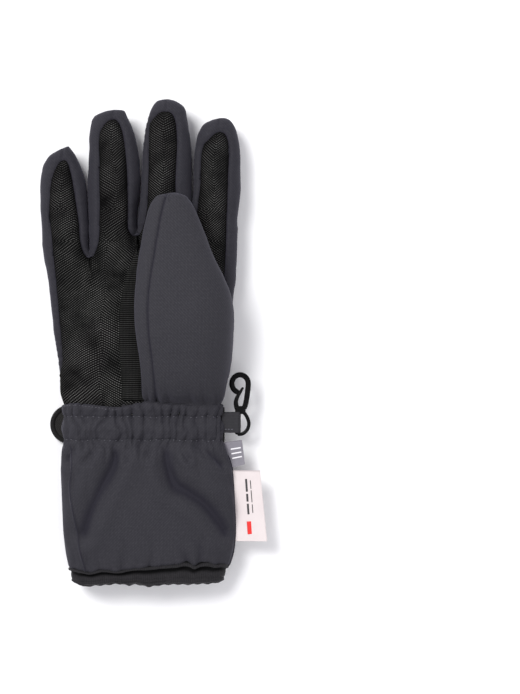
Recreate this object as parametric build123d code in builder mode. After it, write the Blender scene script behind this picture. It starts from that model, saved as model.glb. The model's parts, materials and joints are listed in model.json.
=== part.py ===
"""A child's padded ski glove, right hand, lying on its back with the palm facing up.

The glove is a stack of fabric layers: a woven shell, a wadding layer and a fleece lining. Each layer
is a closed solid, cut at the places where the glove bends (wrist, finger joints, thumb), so that the
stiff pieces on each side can turn about a hinge. The design frame has its origin on the wrist seam;
+X points to the thumb side, +Y to the fingertips and +Z up. At the end every piece is moved by one
shift, so that the origin lies under the centre of the whole glove, on the surface it rests on.
"""

import math
import os

from build123d import *

os.makedirs("parts", exist_ok=True)

# ---------------------------------------------------------------- driving dimensions, in millimetres
SHELL = 0.9  # woven shell fabric
WADDING = 2.2  # insulation between shell and lining
LINING = 1.0  # fleece lining of the hand
CUFF_LINING = 1.5  # fleece lining of the gauntlet
LAYER_GAP = 0.1  # air between one layer and the next
BODY_GAP = 0.3  # half the gap between two pieces that turn against each other

WADDING_INSET = SHELL + LAYER_GAP
LINING_INSET = WADDING_INSET + WADDING + LAYER_GAP
CAVITY_INSET = LINING_INSET + LINING

# Stations of the hand: y, left x, right x, lowest z, highest z.
HAND_STATIONS = [
    (-8, -44.3, 41.8, 4.2, 24.9),
    (4, -45.0, 43.0, 3.2, 25.4),
    (18, -47.5, 44.5, -0.4, 26.0),
    (45, -50.5, 47.0, -0.4, 26.0),
    (72, -53.5, 48.5, -0.4, 25.5),
    (86, -52.5, 47.5, 3.0, 21.0),
    (94, -47.0, 43.0, 8.0, 16.0),
]
# Stations of the wrist and the gauntlet, the same way. The wrist band ends at WRIST_END.
CUFF_STATIONS = [
    (8, -44.3, 41.8, 5.2, 24.5),
    (-8, -44.3, 41.8, 5.2, 24.5),
    (-20.5, -44.5, 42.0, 5.0, 24.8),
    (-32, -45.0, 45.0, 1.5, 26.4),
    (-46, -45.0, 47.4, -0.4, 27.0),
    (-62, -44.5, 48.0, -0.4, 27.0),
    (-80, -42.8, 47.0, -0.4, 26.0),
    (-91, -41.0, 44.6, 0.8, 24.6),
]
HEM_STATIONS = [
    (-84, -40.8, 43.9, 1.4, 24.0),
    (-104, -38.8, 40.4, 2.8, 22.2),
]
WRIST_Y, WRIST_Z = 0.0, 14.0  # axis of the wrist bend
WRIST_FLEX = 20  # degrees each way
NOTCH_HEIGHT = 30.0  # the wrist's cut is made this far up and down, past the outside
WRIST_END = -20.5
CUFF_END = -90.6
CUFF_SEAM_Z = 14.0  # height of the side seams of the wrist and the gauntlet
HEM_END = -98.8
HEM_WALL = 4.4  # the binding is folded round an elastic
HEM_FOLD = 1.4
ELASTIC_INSET, ELASTIC = 1.1, 1.2
ELASTIC_REACH = (-19.0, -3.4)  # the elastic lies between the wrist band's two rows of stitches
WRIST_LINING_INSET, WRIST_LINING = 2.4, 1.0

# Fingers: hinge point on the centreline, lean from +Y, half width, length beyond the hinge.
FINGERS = {
    "little": (-44.0, 108.0, 3.0, 12.7, 30.2),
    "ring": (-17.6, 124.0, 2.4, 13.4, 34.8),
    "middle": (11.0, 128.0, 0.0, 13.2, 35.9),
    "index": (37.9, 120.0, 0.0, 12.5, 33.6),
}
FINGER_Z = 12.0  # height of every finger's centreline
FINGER_HALF_THICKNESS = 10.5
STUB_LENGTH = 46.0  # from the hinge back into the palm
FINGER_FLEX = 60  # degrees, towards the palm
HINGE_RISE = 4.0  # hinge axis above the centreline, nearer the palm side
TIP_PROFILE = [  # share of the length, share of the half width
    (-0.12, 1.00),
    (0.20, 1.00),
    (0.45, 0.95),
    (0.66, 0.86),
    (0.82, 0.70),
    (0.93, 0.48),
    (1.00, 0.20),
]
PANEL_SHARE = 0.42  # the side strip reaches this share of the half thickness up and down

# Stations of the thumb: y, centre x, half width, centre z, half thickness.
THUMB_STATIONS = [
    (-6, 21.0, 20.5, 32.8, 5.4),
    (12, 22.3, 23.3, 34.8, 7.4),
    (30, 22.0, 25.6, 36.6, 9.2),
    (46, 21.4, 26.6, 37.4, 10.0),
    (66, 19.6, 24.3, 37.4, 10.0),
    (80, 17.2, 20.7, 37.2, 9.8),
    (93.4, 15.8, 16.8, 36.7, 9.3),
    (105.0, 14.6, 11.6, 35.8, 7.9),
    (111.0, 14.3, 6.8, 34.8, 5.4),
    (113.4, 14.3, 3.0, 34.0, 2.6),
]
THUMB_END_SHRINK = (1.0, 0.75, 0.5)  # share of the inset that the last three stations shrink by
THUMB_WINDOW = (22.0, 32.0, 12.0, 18.0)  # centre and radii of the way from the palm into the thumb
PALM_WINDOW_DEPTH = 20.0  # how far that way is cut, up through the palm's layers
THUMB_WINDOW_LOW, THUMB_WINDOW_DEPTH = 20.0, 16.5  # and up through the thumb's lower layers
THUMB_SEAM_Z = 34.0  # height where the thumb's inner panel ends
THUMB_SEAM = ((8.5, 125), (0.9, 54), (6.5, -20))  # three points of the seam along the thumb
SEAM_FIELD_X = -60.0  # everything from here to the seam belongs to the thumb's side strip
PATCH_LOW, PATCH_THICKNESS = 26.1, 0.6  # ribbed patch on the palm
PATCH_CURVE = ((-3.5, 72), (-8.5, 42), (-10, 6))  # its side away from the thumb
PATCH_STRAIGHT = ((5, 6), (6, 68))  # its side under the thumb

# Wrist strap on the back of the hand, under the wrist: heights of its layers.
STRAP_Y, STRAP_WIDTH = -12.0, 20.0
STRAP_END_X, STRAP_HINGE_X = -52.2, 14.0
STRAP_LOW, STRAP_HIGH = 1.9, 3.1
STRAP_EDGE = 0.9  # the webbing stops short of the strap's outline, inside the binding
BINDING_WIDTH, BINDING_LOW, BINDING_HIGH = 4.0, 1.3, 3.7
HOOK_PATCH = (-40.0, -18.0, 3.15, 3.95)  # left x, right x, lowest z, highest z
LOOP_PATCH = (-33.0, 8.0, 4.05, 4.85)
PATCH_WIDTH, PATCH_CORNER = 16.0, 1.5
ANCHOR_INSETS = (-1.5, -0.2)
ANCHOR_TOP = 11.0

# Plastic clip on the thumb side, hung from a folded webbing tab.
CLIP_Z = 13.5
CLIP_THICKNESS = 2.6
CLIP_AXIS_X, BAR_RADIUS = 49.6, 1.0
TAB_X = 42.5
TAB_LOW_Y, TAB_HIGH_Y = -15.5, -5.0
TAB_FABRIC, TAB_CLEARANCE = 0.9, 0.2
BAR_LOW_Y, NECK_LOW_Y = -17.1, -4.7
HOOK_CENTRE, HOOK_OUTER = (51.35, 10.3), 5.85
HOOK_THROAT = ((51.35, 10.3), (49.4, 3.6), (53.4, 3.4), (54.4, 8.9))  # where the hook is open
EYE_ARC, EYE_WIDTH = ((53.3, -4.0), (55.9, -11.4), (49.6, -17.1)), 1.75  # from the neck to the bar
HOOK_OPENING = (51.4, 10.6)
HOOK_RADIUS, HOOK_STRETCH = 3.1, 1.3
CLIP_SPINE = (  # the spine, the foot that carries the gate, and the neck above the eye
    (57.2, 10.3),
    (56.1, 5.1),
    (55.4, -0.9),
    (54.3, -2.9),
    (54.3, NECK_LOW_Y),
    (48.6, NECK_LOW_Y),
    (48.6, -2.9),
    (47.9, -1.9),
    (52.3, -1.9),
    (53.0, -1.2),
    (53.5, 3.5),
    (54.4, 8.9),
    (54.4, 10.3),
)
GATE_AXIS, GATE_KNUCKLE, GATE_CLEARANCE = (49.1, -0.7), 1.1, 0.2
GATE_OUTLINE = (
    (48.0, -0.6),
    (47.9, 0.3),
    (49.9, 4.6),
    (52.0, 8.2),
    (52.6, 8.2),
    (53.0, 7.6),
    (51.3, 2.6),
    (50.2, -0.6),
)
GATE_THICKNESS = 2.0

# Loop labels in the side seam.
LABEL_Z, LABEL_THICKNESS = 13.4, 0.6
SIDE_LABEL = ((44.6, -22.0), (52.4, -20.2), (54.0, -33.2), (47.2, -35.4))
INFO_LABEL = ((47.6, -36.5), (62.1, -36.3), (66.1, -74.5), (48.9, -74.5))

BIG = 400.0

pieces = {}


def keep_piece(part, name, colour):
    """Labels a finished piece and remembers it for export."""
    part.label = name
    part.color = Color(*colour)
    pieces[name] = part


GREY, BLACK, FLEECE = (0.20, 0.20, 0.24), (0.05, 0.05, 0.05), (0.10, 0.10, 0.10)
WHITE, WOOL = (0.92, 0.89, 0.88), (0.85, 0.85, 0.82)


# ---------------------------------------------------------------- shapes
def cross_plane(x, y, z):
    """A plane across the glove, its own y axis pointing up."""
    return Plane(origin=(x, y, z), x_dir=(1, 0, 0), z_dir=(0, -1, 0))


def finger_plane(name, along=0.0, rise=0.0):
    """A plane across a finger, at a distance beyond its hinge."""
    x, y, lean, _, _ = FINGERS[name]
    turn = math.radians(lean)
    across = (math.cos(turn), math.sin(turn), 0)
    forward = (-math.sin(turn), math.cos(turn), 0)
    origin = (x + forward[0] * along, y + forward[1] * along, FINGER_Z + rise)
    return Plane(origin=origin, x_dir=across, z_dir=(-forward[0], -forward[1], 0))


def tube_loft(stations, inset):
    """A flat, full-rounded tube through stations across the glove, drawn in by inset."""
    with BuildPart() as tube:
        for y, left, right, low, high in stations:
            width, height = right - left - 2 * inset, high - low - 2 * inset
            with BuildSketch(cross_plane((left + right) / 2, y, (low + high) / 2)):
                RectangleRounded(width, height, 0.485 * height)
        loft(ruled=True)
    return tube.part


def hand_solid(inset):
    """The palm with the first part of each finger, drawn in by inset."""
    drawn_in = []
    for k, (y, left, right, low, high) in enumerate(HAND_STATIONS):
        shrink = inset
        if k >= len(HAND_STATIONS) - 2:
            # The front closes here, so it moves back by the inset and gets less thin.
            y = y - inset
            shrink = 0.35 * inset
        drawn_in.append((y, left + inset, right - inset, low + shrink, high - shrink))
    palm = tube_loft(drawn_in, 0)
    with BuildPart() as hand:
        add(palm)
        for name, (_, _, _, half_width, _) in FINGERS.items():
            with BuildSketch(finger_plane(name)):
                Ellipse(half_width - inset, FINGER_HALF_THICKNESS - inset)
            extrude(amount=STUB_LENGTH)
    return hand.part


def tip_solid(name, inset):
    """The part of a finger beyond its hinge, drawn in by inset."""
    _, _, _, half_width, length = FINGERS[name]
    with BuildPart() as tip:
        for share, scale_here in TIP_PROFILE:
            with BuildSketch(finger_plane(name, share * (length - inset))):
                Ellipse(
                    (half_width - inset) * scale_here,
                    (FINGER_HALF_THICKNESS - inset) * scale_here ** 0.8,
                )
        loft(ruled=True)
    return tip.part


def thumb_solid(inset):
    """The thumb, drawn in by inset."""
    body = len(THUMB_STATIONS) - len(THUMB_END_SHRINK)
    with BuildPart() as thumb:
        for k, (y, x, half_width, z, half_thickness) in enumerate(THUMB_STATIONS):
            shrink = inset
            if k >= body:
                y = y - inset
                shrink = inset * THUMB_END_SHRINK[k - body]
            with BuildSketch(cross_plane(x, y, z)):
                Ellipse(half_width - shrink, half_thickness - shrink)
        loft(ruled=True)
    return thumb.part


def finger_notch(name):
    """What is cut away at a finger's hinge: a slit, opening upwards into a V."""
    half_width = FINGERS[name][3] + BODY_GAP
    x, y, lean, _, _ = FINGERS[name]
    forward = Vector(-math.sin(math.radians(lean)), math.cos(math.radians(lean)), 0)
    side = Vector(math.cos(math.radians(lean)), math.sin(math.radians(lean)), 0)
    origin = Vector(x, y, FINGER_Z + HINGE_RISE) - side * half_width
    height = 2 * FINGER_HALF_THICKNESS
    open_by = height * math.tan(math.radians(FINGER_FLEX / 2))
    with BuildPart() as notch:
        with BuildSketch(Plane(origin=origin, x_dir=forward, z_dir=side)):
            with BuildLine():
                Polyline(
                    (-BODY_GAP, -height),
                    (BODY_GAP, -height),
                    (BODY_GAP, 0),
                    (BODY_GAP + open_by, height),
                    (-BODY_GAP - open_by, height),
                    (-BODY_GAP, 0),
                    close=True,
                )
            make_face()
        extrude(amount=2 * half_width)
    return notch.part


def wrist_notch():
    """What is cut away at the wrist: a slit that opens upwards and downwards."""
    height = NOTCH_HEIGHT
    open_by = height * math.tan(math.radians(WRIST_FLEX / 2))
    profile = Plane(origin=(-BIG / 4, WRIST_Y, WRIST_Z), x_dir=(0, 1, 0), z_dir=(1, 0, 0))
    with BuildPart() as notch:
        with BuildSketch(profile):
            with BuildLine():
                Polyline(
                    (-BODY_GAP, 0),
                    (-BODY_GAP - open_by, -height),
                    (BODY_GAP + open_by, -height),
                    (BODY_GAP, 0),
                    (BODY_GAP + open_by, height),
                    (-BODY_GAP - open_by, height),
                    close=True,
                )
            make_face()
        extrude(amount=BIG / 2)
    return notch.part


def slab(y_low=-BIG, y_high=BIG, z_low=-BIG, z_high=BIG):
    """A block that reaches far across, used to keep a range of y and z."""
    with BuildPart() as block:
        with Locations((0, (y_low + y_high) / 2, (z_low + z_high) / 2)):
            Box(BIG, y_high - y_low, z_high - z_low)
    return block.part


def layer(outer, inner, cuts=(), keep=None):
    """The space between two solids, less the cuts, inside keep."""
    with BuildPart() as between:
        add(outer)
        add(inner, mode=Mode.SUBTRACT)
        for cut in cuts:
            add(cut, mode=Mode.SUBTRACT)
        if keep is not None:
            add(keep, mode=Mode.INTERSECT)
    return between.part


# ---------------------------------------------------------------- hand
wrist_cut = wrist_notch()
notches = {name: finger_notch(name) for name in FINGERS}
side_low = FINGER_Z - PANEL_SHARE * FINGER_HALF_THICKNESS
side_high = FINGER_Z + PANEL_SHARE * FINGER_HALF_THICKNESS
beyond_wrist = slab(y_low=WRIST_Y, z_low=0)

window_x, window_y, window_rx, window_ry = THUMB_WINDOW

with BuildPart() as palm_window:
    with BuildSketch(Plane.XY.offset(FINGER_Z)):
        with Locations((window_x, window_y)):
            Ellipse(window_rx, window_ry)
    extrude(amount=PALM_WINDOW_DEPTH)

with BuildPart() as thumb_window:
    with BuildSketch(Plane.XY.offset(THUMB_WINDOW_LOW)):
        with Locations((window_x, window_y)):
            Ellipse(window_rx, window_ry)
    extrude(amount=THUMB_WINDOW_DEPTH)


def hand_layer(outer_inset, inner_inset):
    """One layer of the hand as a single piece, open at the wrist and at each finger hinge."""
    cuts = [wrist_cut, palm_window.part, *notches.values()]
    made = layer(hand_solid(outer_inset), hand_solid(inner_inset), cuts, beyond_wrist)
    return made.solids().sort_by(SortBy.VOLUME)[-1]


hand_shell = hand_layer(0, SHELL)
wadding_of_hand = hand_layer(WADDING_INSET, WADDING_INSET + WADDING)
lining_of_hand = hand_layer(LINING_INSET, CAVITY_INSET)
palm_side = slab(z_low=side_high)
middle_band = slab(z_low=side_low, z_high=side_high)
back_side = slab(z_high=side_low)

with BuildPart() as palm_grip_panel:
    add(hand_shell)
    add(palm_side, mode=Mode.INTERSECT)
keep_piece(palm_grip_panel.part, "palm_grip_panel", BLACK)

with BuildPart() as hand_back_panel:
    add(hand_shell)
    add(back_side, mode=Mode.INTERSECT)
keep_piece(hand_back_panel.part, "hand_back_panel", GREY)

with BuildPart() as side_strips:
    add(hand_shell)
    add(middle_band, mode=Mode.INTERSECT)

STRIP_NAMES = (
    "outer_side_strip",
    "little_ring_side_strip",
    "ring_middle_side_strip",
    "middle_index_side_strip",
    "inner_side_strip",
)
for name, strip in zip(STRIP_NAMES, side_strips.part.solids().sort_by(Axis.X)):
    with BuildPart() as side_strip:
        add(strip)
    keep_piece(side_strip.part, name, GREY)

with BuildPart() as hand_insulation:
    add(wadding_of_hand)
keep_piece(hand_insulation.part, "hand_insulation", WOOL)

with BuildPart() as hand_lining:
    add(lining_of_hand)
keep_piece(hand_lining.part, "hand_lining", FLEECE)

# The ribbed patch that reinforces the palm beside the thumb.
with BuildPart() as thumb_web_patch:
    with BuildSketch(Plane.XY.offset(PATCH_LOW)):
        with BuildLine():
            patch_side = ThreePointArc(*PATCH_CURVE)
            Polyline(patch_side @ 1, *PATCH_STRAIGHT, patch_side @ 0)
        make_face()
    extrude(amount=PATCH_THICKNESS)
keep_piece(thumb_web_patch.part, "thumb_web_patch", BLACK)

# ---------------------------------------------------------------- fingers beyond their hinges
for finger, (_, _, _, half_width, length) in FINGERS.items():
    with BuildPart() as beyond_hinge:
        with BuildSketch(finger_plane(finger)):
            Rectangle(4 * half_width, 4 * FINGER_HALF_THICKNESS)
        extrude(amount=-2 * length)
    cuts = [notches[finger]]
    shell = layer(tip_solid(finger, 0), tip_solid(finger, SHELL), cuts, beyond_hinge.part)
    wadding = layer(
        tip_solid(finger, WADDING_INSET),
        tip_solid(finger, WADDING_INSET + WADDING),
        cuts,
        beyond_hinge.part,
    )
    lining = layer(
        tip_solid(finger, LINING_INSET), tip_solid(finger, CAVITY_INSET), cuts, beyond_hinge.part
    )

    for name, region, colour in (
        ("grip_panel", palm_side, BLACK),
        ("side_strip", middle_band, GREY),
        ("back_panel", back_side, GREY),
    ):
        with BuildPart() as tip_panel:
            add(shell)
            add(region, mode=Mode.INTERSECT)
        keep_piece(tip_panel.part, f"{finger}_tip_{name}", colour)

    with BuildPart() as tip_insulation:
        add(wadding)
    keep_piece(tip_insulation.part, f"{finger}_tip_insulation", WOOL)

    with BuildPart() as tip_lining:
        add(lining)
    keep_piece(tip_lining.part, f"{finger}_tip_lining", FLEECE)

# ---------------------------------------------------------------- thumb
thumb_cuts = [wrist_cut, thumb_window.part]
beyond_base = slab(y_low=WRIST_Y)
thumb_shell = layer(thumb_solid(0), thumb_solid(SHELL), thumb_cuts, beyond_base)
thumb_wadding = layer(
    thumb_solid(WADDING_INSET), thumb_solid(WADDING_INSET + WADDING), thumb_cuts, beyond_base
)
thumb_fleece = layer(thumb_solid(LINING_INSET), thumb_solid(CAVITY_INSET), thumb_cuts, beyond_base)
thumb_low = slab(z_high=THUMB_SEAM_Z)
thumb_high = slab(z_low=THUMB_SEAM_Z)

with BuildPart() as left_of_seam:
    with BuildSketch(Plane.XY.offset(THUMB_SEAM_Z)):
        with BuildLine():
            seam = ThreePointArc(*THUMB_SEAM)
            seam_top, seam_foot = THUMB_SEAM[0][1], THUMB_SEAM[2][1]
            Polyline(seam @ 1, (SEAM_FIELD_X, seam_foot), (SEAM_FIELD_X, seam_top), seam @ 0)
        make_face()
    extrude(amount=BIG)

with BuildPart() as thumb_inner_panel:
    add(thumb_shell)
    add(thumb_low, mode=Mode.INTERSECT)
keep_piece(thumb_inner_panel.part, "thumb_inner_panel", BLACK)

with BuildPart() as thumb_side_strip:
    add(thumb_shell)
    add(thumb_high, mode=Mode.INTERSECT)
    add(left_of_seam.part, mode=Mode.INTERSECT)
keep_piece(thumb_side_strip.part, "thumb_side_strip", GREY)

with BuildPart() as thumb_outer_panel:
    add(thumb_shell)
    add(thumb_high, mode=Mode.INTERSECT)
    add(left_of_seam.part, mode=Mode.SUBTRACT)
keep_piece(thumb_outer_panel.part, "thumb_outer_panel", GREY)

with BuildPart() as thumb_insulation:
    add(thumb_wadding)
keep_piece(thumb_insulation.part, "thumb_insulation", WOOL)

with BuildPart() as thumb_lining:
    add(thumb_fleece)
keep_piece(thumb_lining.part, "thumb_lining", FLEECE)

# ---------------------------------------------------------------- wrist and gauntlet


def cuff_layer(outer_inset, inner_inset, keep):
    """A ring of the wrist or the gauntlet, drawn in between two insets."""
    outer, inner = tube_loft(CUFF_STATIONS, outer_inset), tube_loft(CUFF_STATIONS, inner_inset)
    return layer(outer, inner, [wrist_cut], keep)


cuff_shell = cuff_layer(0, SHELL, slab(CUFF_END, WRIST_Y, 0, BIG))
for name, region in (
    ("wrist_band_palm_side", slab(WRIST_END, BIG, CUFF_SEAM_Z, BIG)),
    ("wrist_band_back_side", slab(WRIST_END, BIG, -BIG, CUFF_SEAM_Z)),
    ("cuff_palm_side", slab(-BIG, WRIST_END, CUFF_SEAM_Z, BIG)),
    ("cuff_back_side", slab(-BIG, WRIST_END, -BIG, CUFF_SEAM_Z)),
):
    with BuildPart() as cuff_panel:
        add(cuff_shell)
        add(region, mode=Mode.INTERSECT)
    keep_piece(cuff_panel.part, name, GREY)

for name, inset, thickness, y_low, y_high, colour in (
    ("wrist_elastic", ELASTIC_INSET, ELASTIC, *ELASTIC_REACH, WHITE),
    ("wrist_lining", WRIST_LINING_INSET, WRIST_LINING, WRIST_END, WRIST_Y, FLEECE),
    ("cuff_lining", WADDING_INSET, CUFF_LINING, CUFF_END, WRIST_END, FLEECE),
):
    ring = cuff_layer(inset, inset + thickness, slab(y_low, y_high))
    with BuildPart() as cuff_ring:
        add(ring)
    keep_piece(cuff_ring.part, name, colour)


def hem_layer(outer_inset, inner_inset, y_low, y_high):
    """A ring of the hem between two y values."""
    outer, inner = tube_loft(HEM_STATIONS, outer_inset), tube_loft(HEM_STATIONS, inner_inset)
    return layer(outer, inner, (), slab(y_low, y_high))


hem_ring = hem_layer(0, HEM_WALL, HEM_END, CUFF_END - LAYER_GAP)
hem_groove = hem_layer(HEM_FOLD, HEM_WALL - HEM_FOLD, HEM_END + HEM_FOLD, CUFF_END)
hem_cord = hem_layer(
    HEM_FOLD + LAYER_GAP,
    HEM_WALL - HEM_FOLD - LAYER_GAP,
    HEM_END + HEM_FOLD + LAYER_GAP,
    CUFF_END - HEM_FOLD,
)

with BuildPart() as hem_binding:
    add(hem_ring)
    add(hem_groove, mode=Mode.SUBTRACT)
keep_piece(hem_binding.part, "hem_binding", BLACK)

with BuildPart() as hem_elastic:
    add(hem_cord)
keep_piece(hem_elastic.part, "hem_elastic", WHITE)

# ---------------------------------------------------------------- wrist strap, under the wrist
strap_free_x = STRAP_HINGE_X - BODY_GAP
strap_round_x = STRAP_END_X + STRAP_WIDTH / 2


def strap_outline(inset):
    """The strap's free part, straight at the hinge and half-round at its end."""
    radius = STRAP_WIDTH / 2 - inset
    with BuildSketch() as outline:
        with BuildLine():
            end = ThreePointArc(
                (strap_round_x, STRAP_Y + radius),
                (strap_round_x - radius, STRAP_Y),
                (strap_round_x, STRAP_Y - radius),
            )
            Polyline(
                end @ 1, (strap_free_x, STRAP_Y - radius), (strap_free_x, STRAP_Y + radius), end @ 0
            )
        make_face()
    return outline.sketch


webbing_outline = strap_outline(STRAP_EDGE)

with BuildPart() as strap_webbing:
    with BuildSketch(Plane.XY.offset(STRAP_LOW)):
        add(webbing_outline)
    extrude(amount=STRAP_HIGH - STRAP_LOW)
keep_piece(strap_webbing.part, "strap_webbing", BLACK)

with BuildPart() as strap_end_binding:
    with BuildSketch(Plane.XY.offset(BINDING_LOW)):
        with Locations((strap_round_x, STRAP_Y)):
            Circle(STRAP_WIDTH / 2)
            Circle(STRAP_WIDTH / 2 - BINDING_WIDTH, mode=Mode.SUBTRACT)
        with Locations((strap_round_x + STRAP_WIDTH / 2, STRAP_Y)):
            Rectangle(STRAP_WIDTH, 2 * STRAP_WIDTH, mode=Mode.SUBTRACT)
    extrude(amount=BINDING_HIGH - BINDING_LOW)
    add(strap_webbing.part, mode=Mode.SUBTRACT)
keep_piece(strap_end_binding.part, "strap_end_binding", BLACK)

for name, (left, right, low, high) in (
    ("strap_hook_patch", HOOK_PATCH),
    ("strap_loop_patch", LOOP_PATCH),
):
    with BuildPart() as patch:
        with BuildSketch(Plane.XY.offset(low)):
            with Locations(((left + right) / 2, STRAP_Y)):
                RectangleRounded(right - left, PATCH_WIDTH, PATCH_CORNER)
        extrude(amount=high - low)
    keep_piece(patch.part, name, BLACK)

anchor_ring = layer(
    tube_loft(CUFF_STATIONS, ANCHOR_INSETS[0]),
    tube_loft(CUFF_STATIONS, ANCHOR_INSETS[1]),
    (),
    slab(STRAP_Y - STRAP_WIDTH / 2, STRAP_Y + STRAP_WIDTH / 2, -BIG, ANCHOR_TOP),
)
with BuildPart() as strap_anchor:
    with BuildSketch(Plane.YZ.offset(STRAP_HINGE_X + BODY_GAP)):
        Rectangle(BIG, BIG)
    extrude(amount=BIG)
    add(anchor_ring, mode=Mode.INTERSECT)
keep_piece(strap_anchor.part, "strap_anchor", BLACK)

# ---------------------------------------------------------------- clip and its tab
fold_inner = BAR_RADIUS + TAB_CLEARANCE
fold_outer = fold_inner + TAB_FABRIC

with BuildPart() as clip_tab:
    with BuildSketch(cross_plane(CLIP_AXIS_X, TAB_HIGH_Y, CLIP_Z)):
        for radius, mode in ((fold_outer, Mode.ADD), (fold_inner, Mode.SUBTRACT)):
            Circle(radius, mode=mode)
            with Locations(((TAB_X - CLIP_AXIS_X) / 2, 0)):
                Rectangle(CLIP_AXIS_X - TAB_X, 2 * radius, mode=mode)
    extrude(amount=TAB_HIGH_Y - TAB_LOW_Y)
keep_piece(clip_tab.part, "clip_tab", GREY)

with BuildPart() as clip_frame:
    with BuildSketch(Plane.XY.offset(CLIP_Z - CLIP_THICKNESS / 2)):
        with Locations(HOOK_CENTRE):
            Circle(HOOK_OUTER)
        with BuildLine():
            Polyline(*HOOK_THROAT, close=True)
        make_face(mode=Mode.SUBTRACT)
        with BuildLine():
            Polyline(*CLIP_SPINE, close=True)
        make_face()
        with Locations(HOOK_OPENING):
            SlotCenterToCenter(HOOK_STRETCH, 2 * HOOK_RADIUS, rotation=90, mode=Mode.SUBTRACT)
        with Locations(GATE_AXIS):
            Circle(GATE_KNUCKLE + GATE_CLEARANCE, mode=Mode.SUBTRACT)
        with BuildLine():
            ThreePointArc(*EYE_ARC)
        trace(line_width=EYE_WIDTH)
    extrude(amount=CLIP_THICKNESS)
    with BuildSketch(cross_plane(CLIP_AXIS_X, NECK_LOW_Y, CLIP_Z)):
        Circle(BAR_RADIUS)
    extrude(amount=NECK_LOW_Y - BAR_LOW_Y)
keep_piece(clip_frame.part, "clip_frame", BLACK)

with BuildPart() as clip_gate:
    with BuildSketch(Plane.XY.offset(CLIP_Z - GATE_THICKNESS / 2)):
        with Locations(GATE_AXIS):
            Circle(GATE_KNUCKLE)
        with BuildLine():
            Polyline(*GATE_OUTLINE, close=True)
        make_face()
    extrude(amount=GATE_THICKNESS)
keep_piece(clip_gate.part, "clip_gate", BLACK)

# ---------------------------------------------------------------- labels in the side seam
for name, corners, colour in (
    ("side_label", SIDE_LABEL, GREY),
    ("info_label", INFO_LABEL, WHITE),
):
    with BuildPart() as label:
        with BuildSketch(Plane.XY.offset(LABEL_Z - LABEL_THICKNESS / 2)):
            with BuildLine():
                Polyline(*corners, close=True)
            make_face()
        extrude(amount=LABEL_THICKNESS)
    keep_piece(label.part, name, colour)

# ---------------------------------------------------------------- export
boxes = [part.bounding_box() for part in pieces.values()]
low_x, high_x = min(box.min.X for box in boxes), max(box.max.X for box in boxes)
low_y, high_y = min(box.min.Y for box in boxes), max(box.max.Y for box in boxes)
low_z = min(box.min.Z for box in boxes)
to_origin = Location((-(low_x + high_x) / 2, -(low_y + high_y) / 2, -low_z))
print("shift from the design frame:", to_origin.position)

for name, part in pieces.items():
    placed = part.moved(to_origin)
    placed.label = name
    export_step(placed, f"parts/{name}.step")
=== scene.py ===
"""A child's padded ski glove, right hand, palm up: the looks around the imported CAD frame.

Shapes are written in millimetres in the glove's own frame, whose origin is the middle of the wrist seam:
+X to the thumb side, +Y to the fingertips, +Z up. place() turns them into the row frame, in metres.
"""

import json
import math

import bmesh
import bpy
import numpy as np
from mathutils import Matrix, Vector
from mathutils.kdtree import KDTree


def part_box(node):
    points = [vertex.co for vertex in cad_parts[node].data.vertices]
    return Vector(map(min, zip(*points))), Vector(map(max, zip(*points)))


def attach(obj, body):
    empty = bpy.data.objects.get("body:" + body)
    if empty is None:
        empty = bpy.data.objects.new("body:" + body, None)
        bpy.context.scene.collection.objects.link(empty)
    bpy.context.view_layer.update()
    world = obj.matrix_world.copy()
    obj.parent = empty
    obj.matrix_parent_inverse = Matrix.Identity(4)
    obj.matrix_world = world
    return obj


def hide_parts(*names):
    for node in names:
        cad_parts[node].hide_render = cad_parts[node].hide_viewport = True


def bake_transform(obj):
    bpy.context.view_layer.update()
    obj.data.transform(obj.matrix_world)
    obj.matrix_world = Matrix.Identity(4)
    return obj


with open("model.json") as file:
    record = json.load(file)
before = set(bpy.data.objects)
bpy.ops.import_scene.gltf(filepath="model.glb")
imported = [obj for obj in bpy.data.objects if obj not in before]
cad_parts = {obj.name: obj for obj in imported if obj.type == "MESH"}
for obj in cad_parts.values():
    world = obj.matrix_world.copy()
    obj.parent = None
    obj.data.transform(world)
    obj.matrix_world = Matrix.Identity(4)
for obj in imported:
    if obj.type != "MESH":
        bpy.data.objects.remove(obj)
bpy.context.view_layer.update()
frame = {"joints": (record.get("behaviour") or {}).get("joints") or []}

# ------------------------------------------------------------------ driving dimensions, millimetres
MM = 0.001
WRIST_BAND_LENGTH = 20.5
STRAP_HINGE_X = 14.3

# The glove's own frame, found from two pieces whose place in it is known.
ORIGIN = np.array(
    [
        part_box("strap_anchor")[0].x - STRAP_HINGE_X * MM,
        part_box("cuff_palm_side")[1].y + WRIST_BAND_LENGTH * MM,
        0.0,
    ]
)

# The hand's outline from above: y, x.
LEFT_SIDE = (
    (-6, -42.6), (0, -43.6), (4, -45.0), (15, -46.0), (32, -48.2), (48, -50.3), (62, -51.6),
    (75, -54.0), (86, -55.6), (96, -56.8),
)
RIGHT_SIDE = (
    (-6, 39.8), (0, 41.0), (8, 43.4), (15, 45.2), (24, 46.8), (40, 47.8), (54, 47.4), (64, 48.8),
    (84, 49.6), (96, 50.2),
)
HAND_START = -6.0
# Where the fingers part: x at the wrist, then the crotch's x and y.
CROTCHES = ((-22.0, -30.2, 85.5), (-1.5, -4.0, 97.0), (20.0, 24.9, 94.0))
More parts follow.
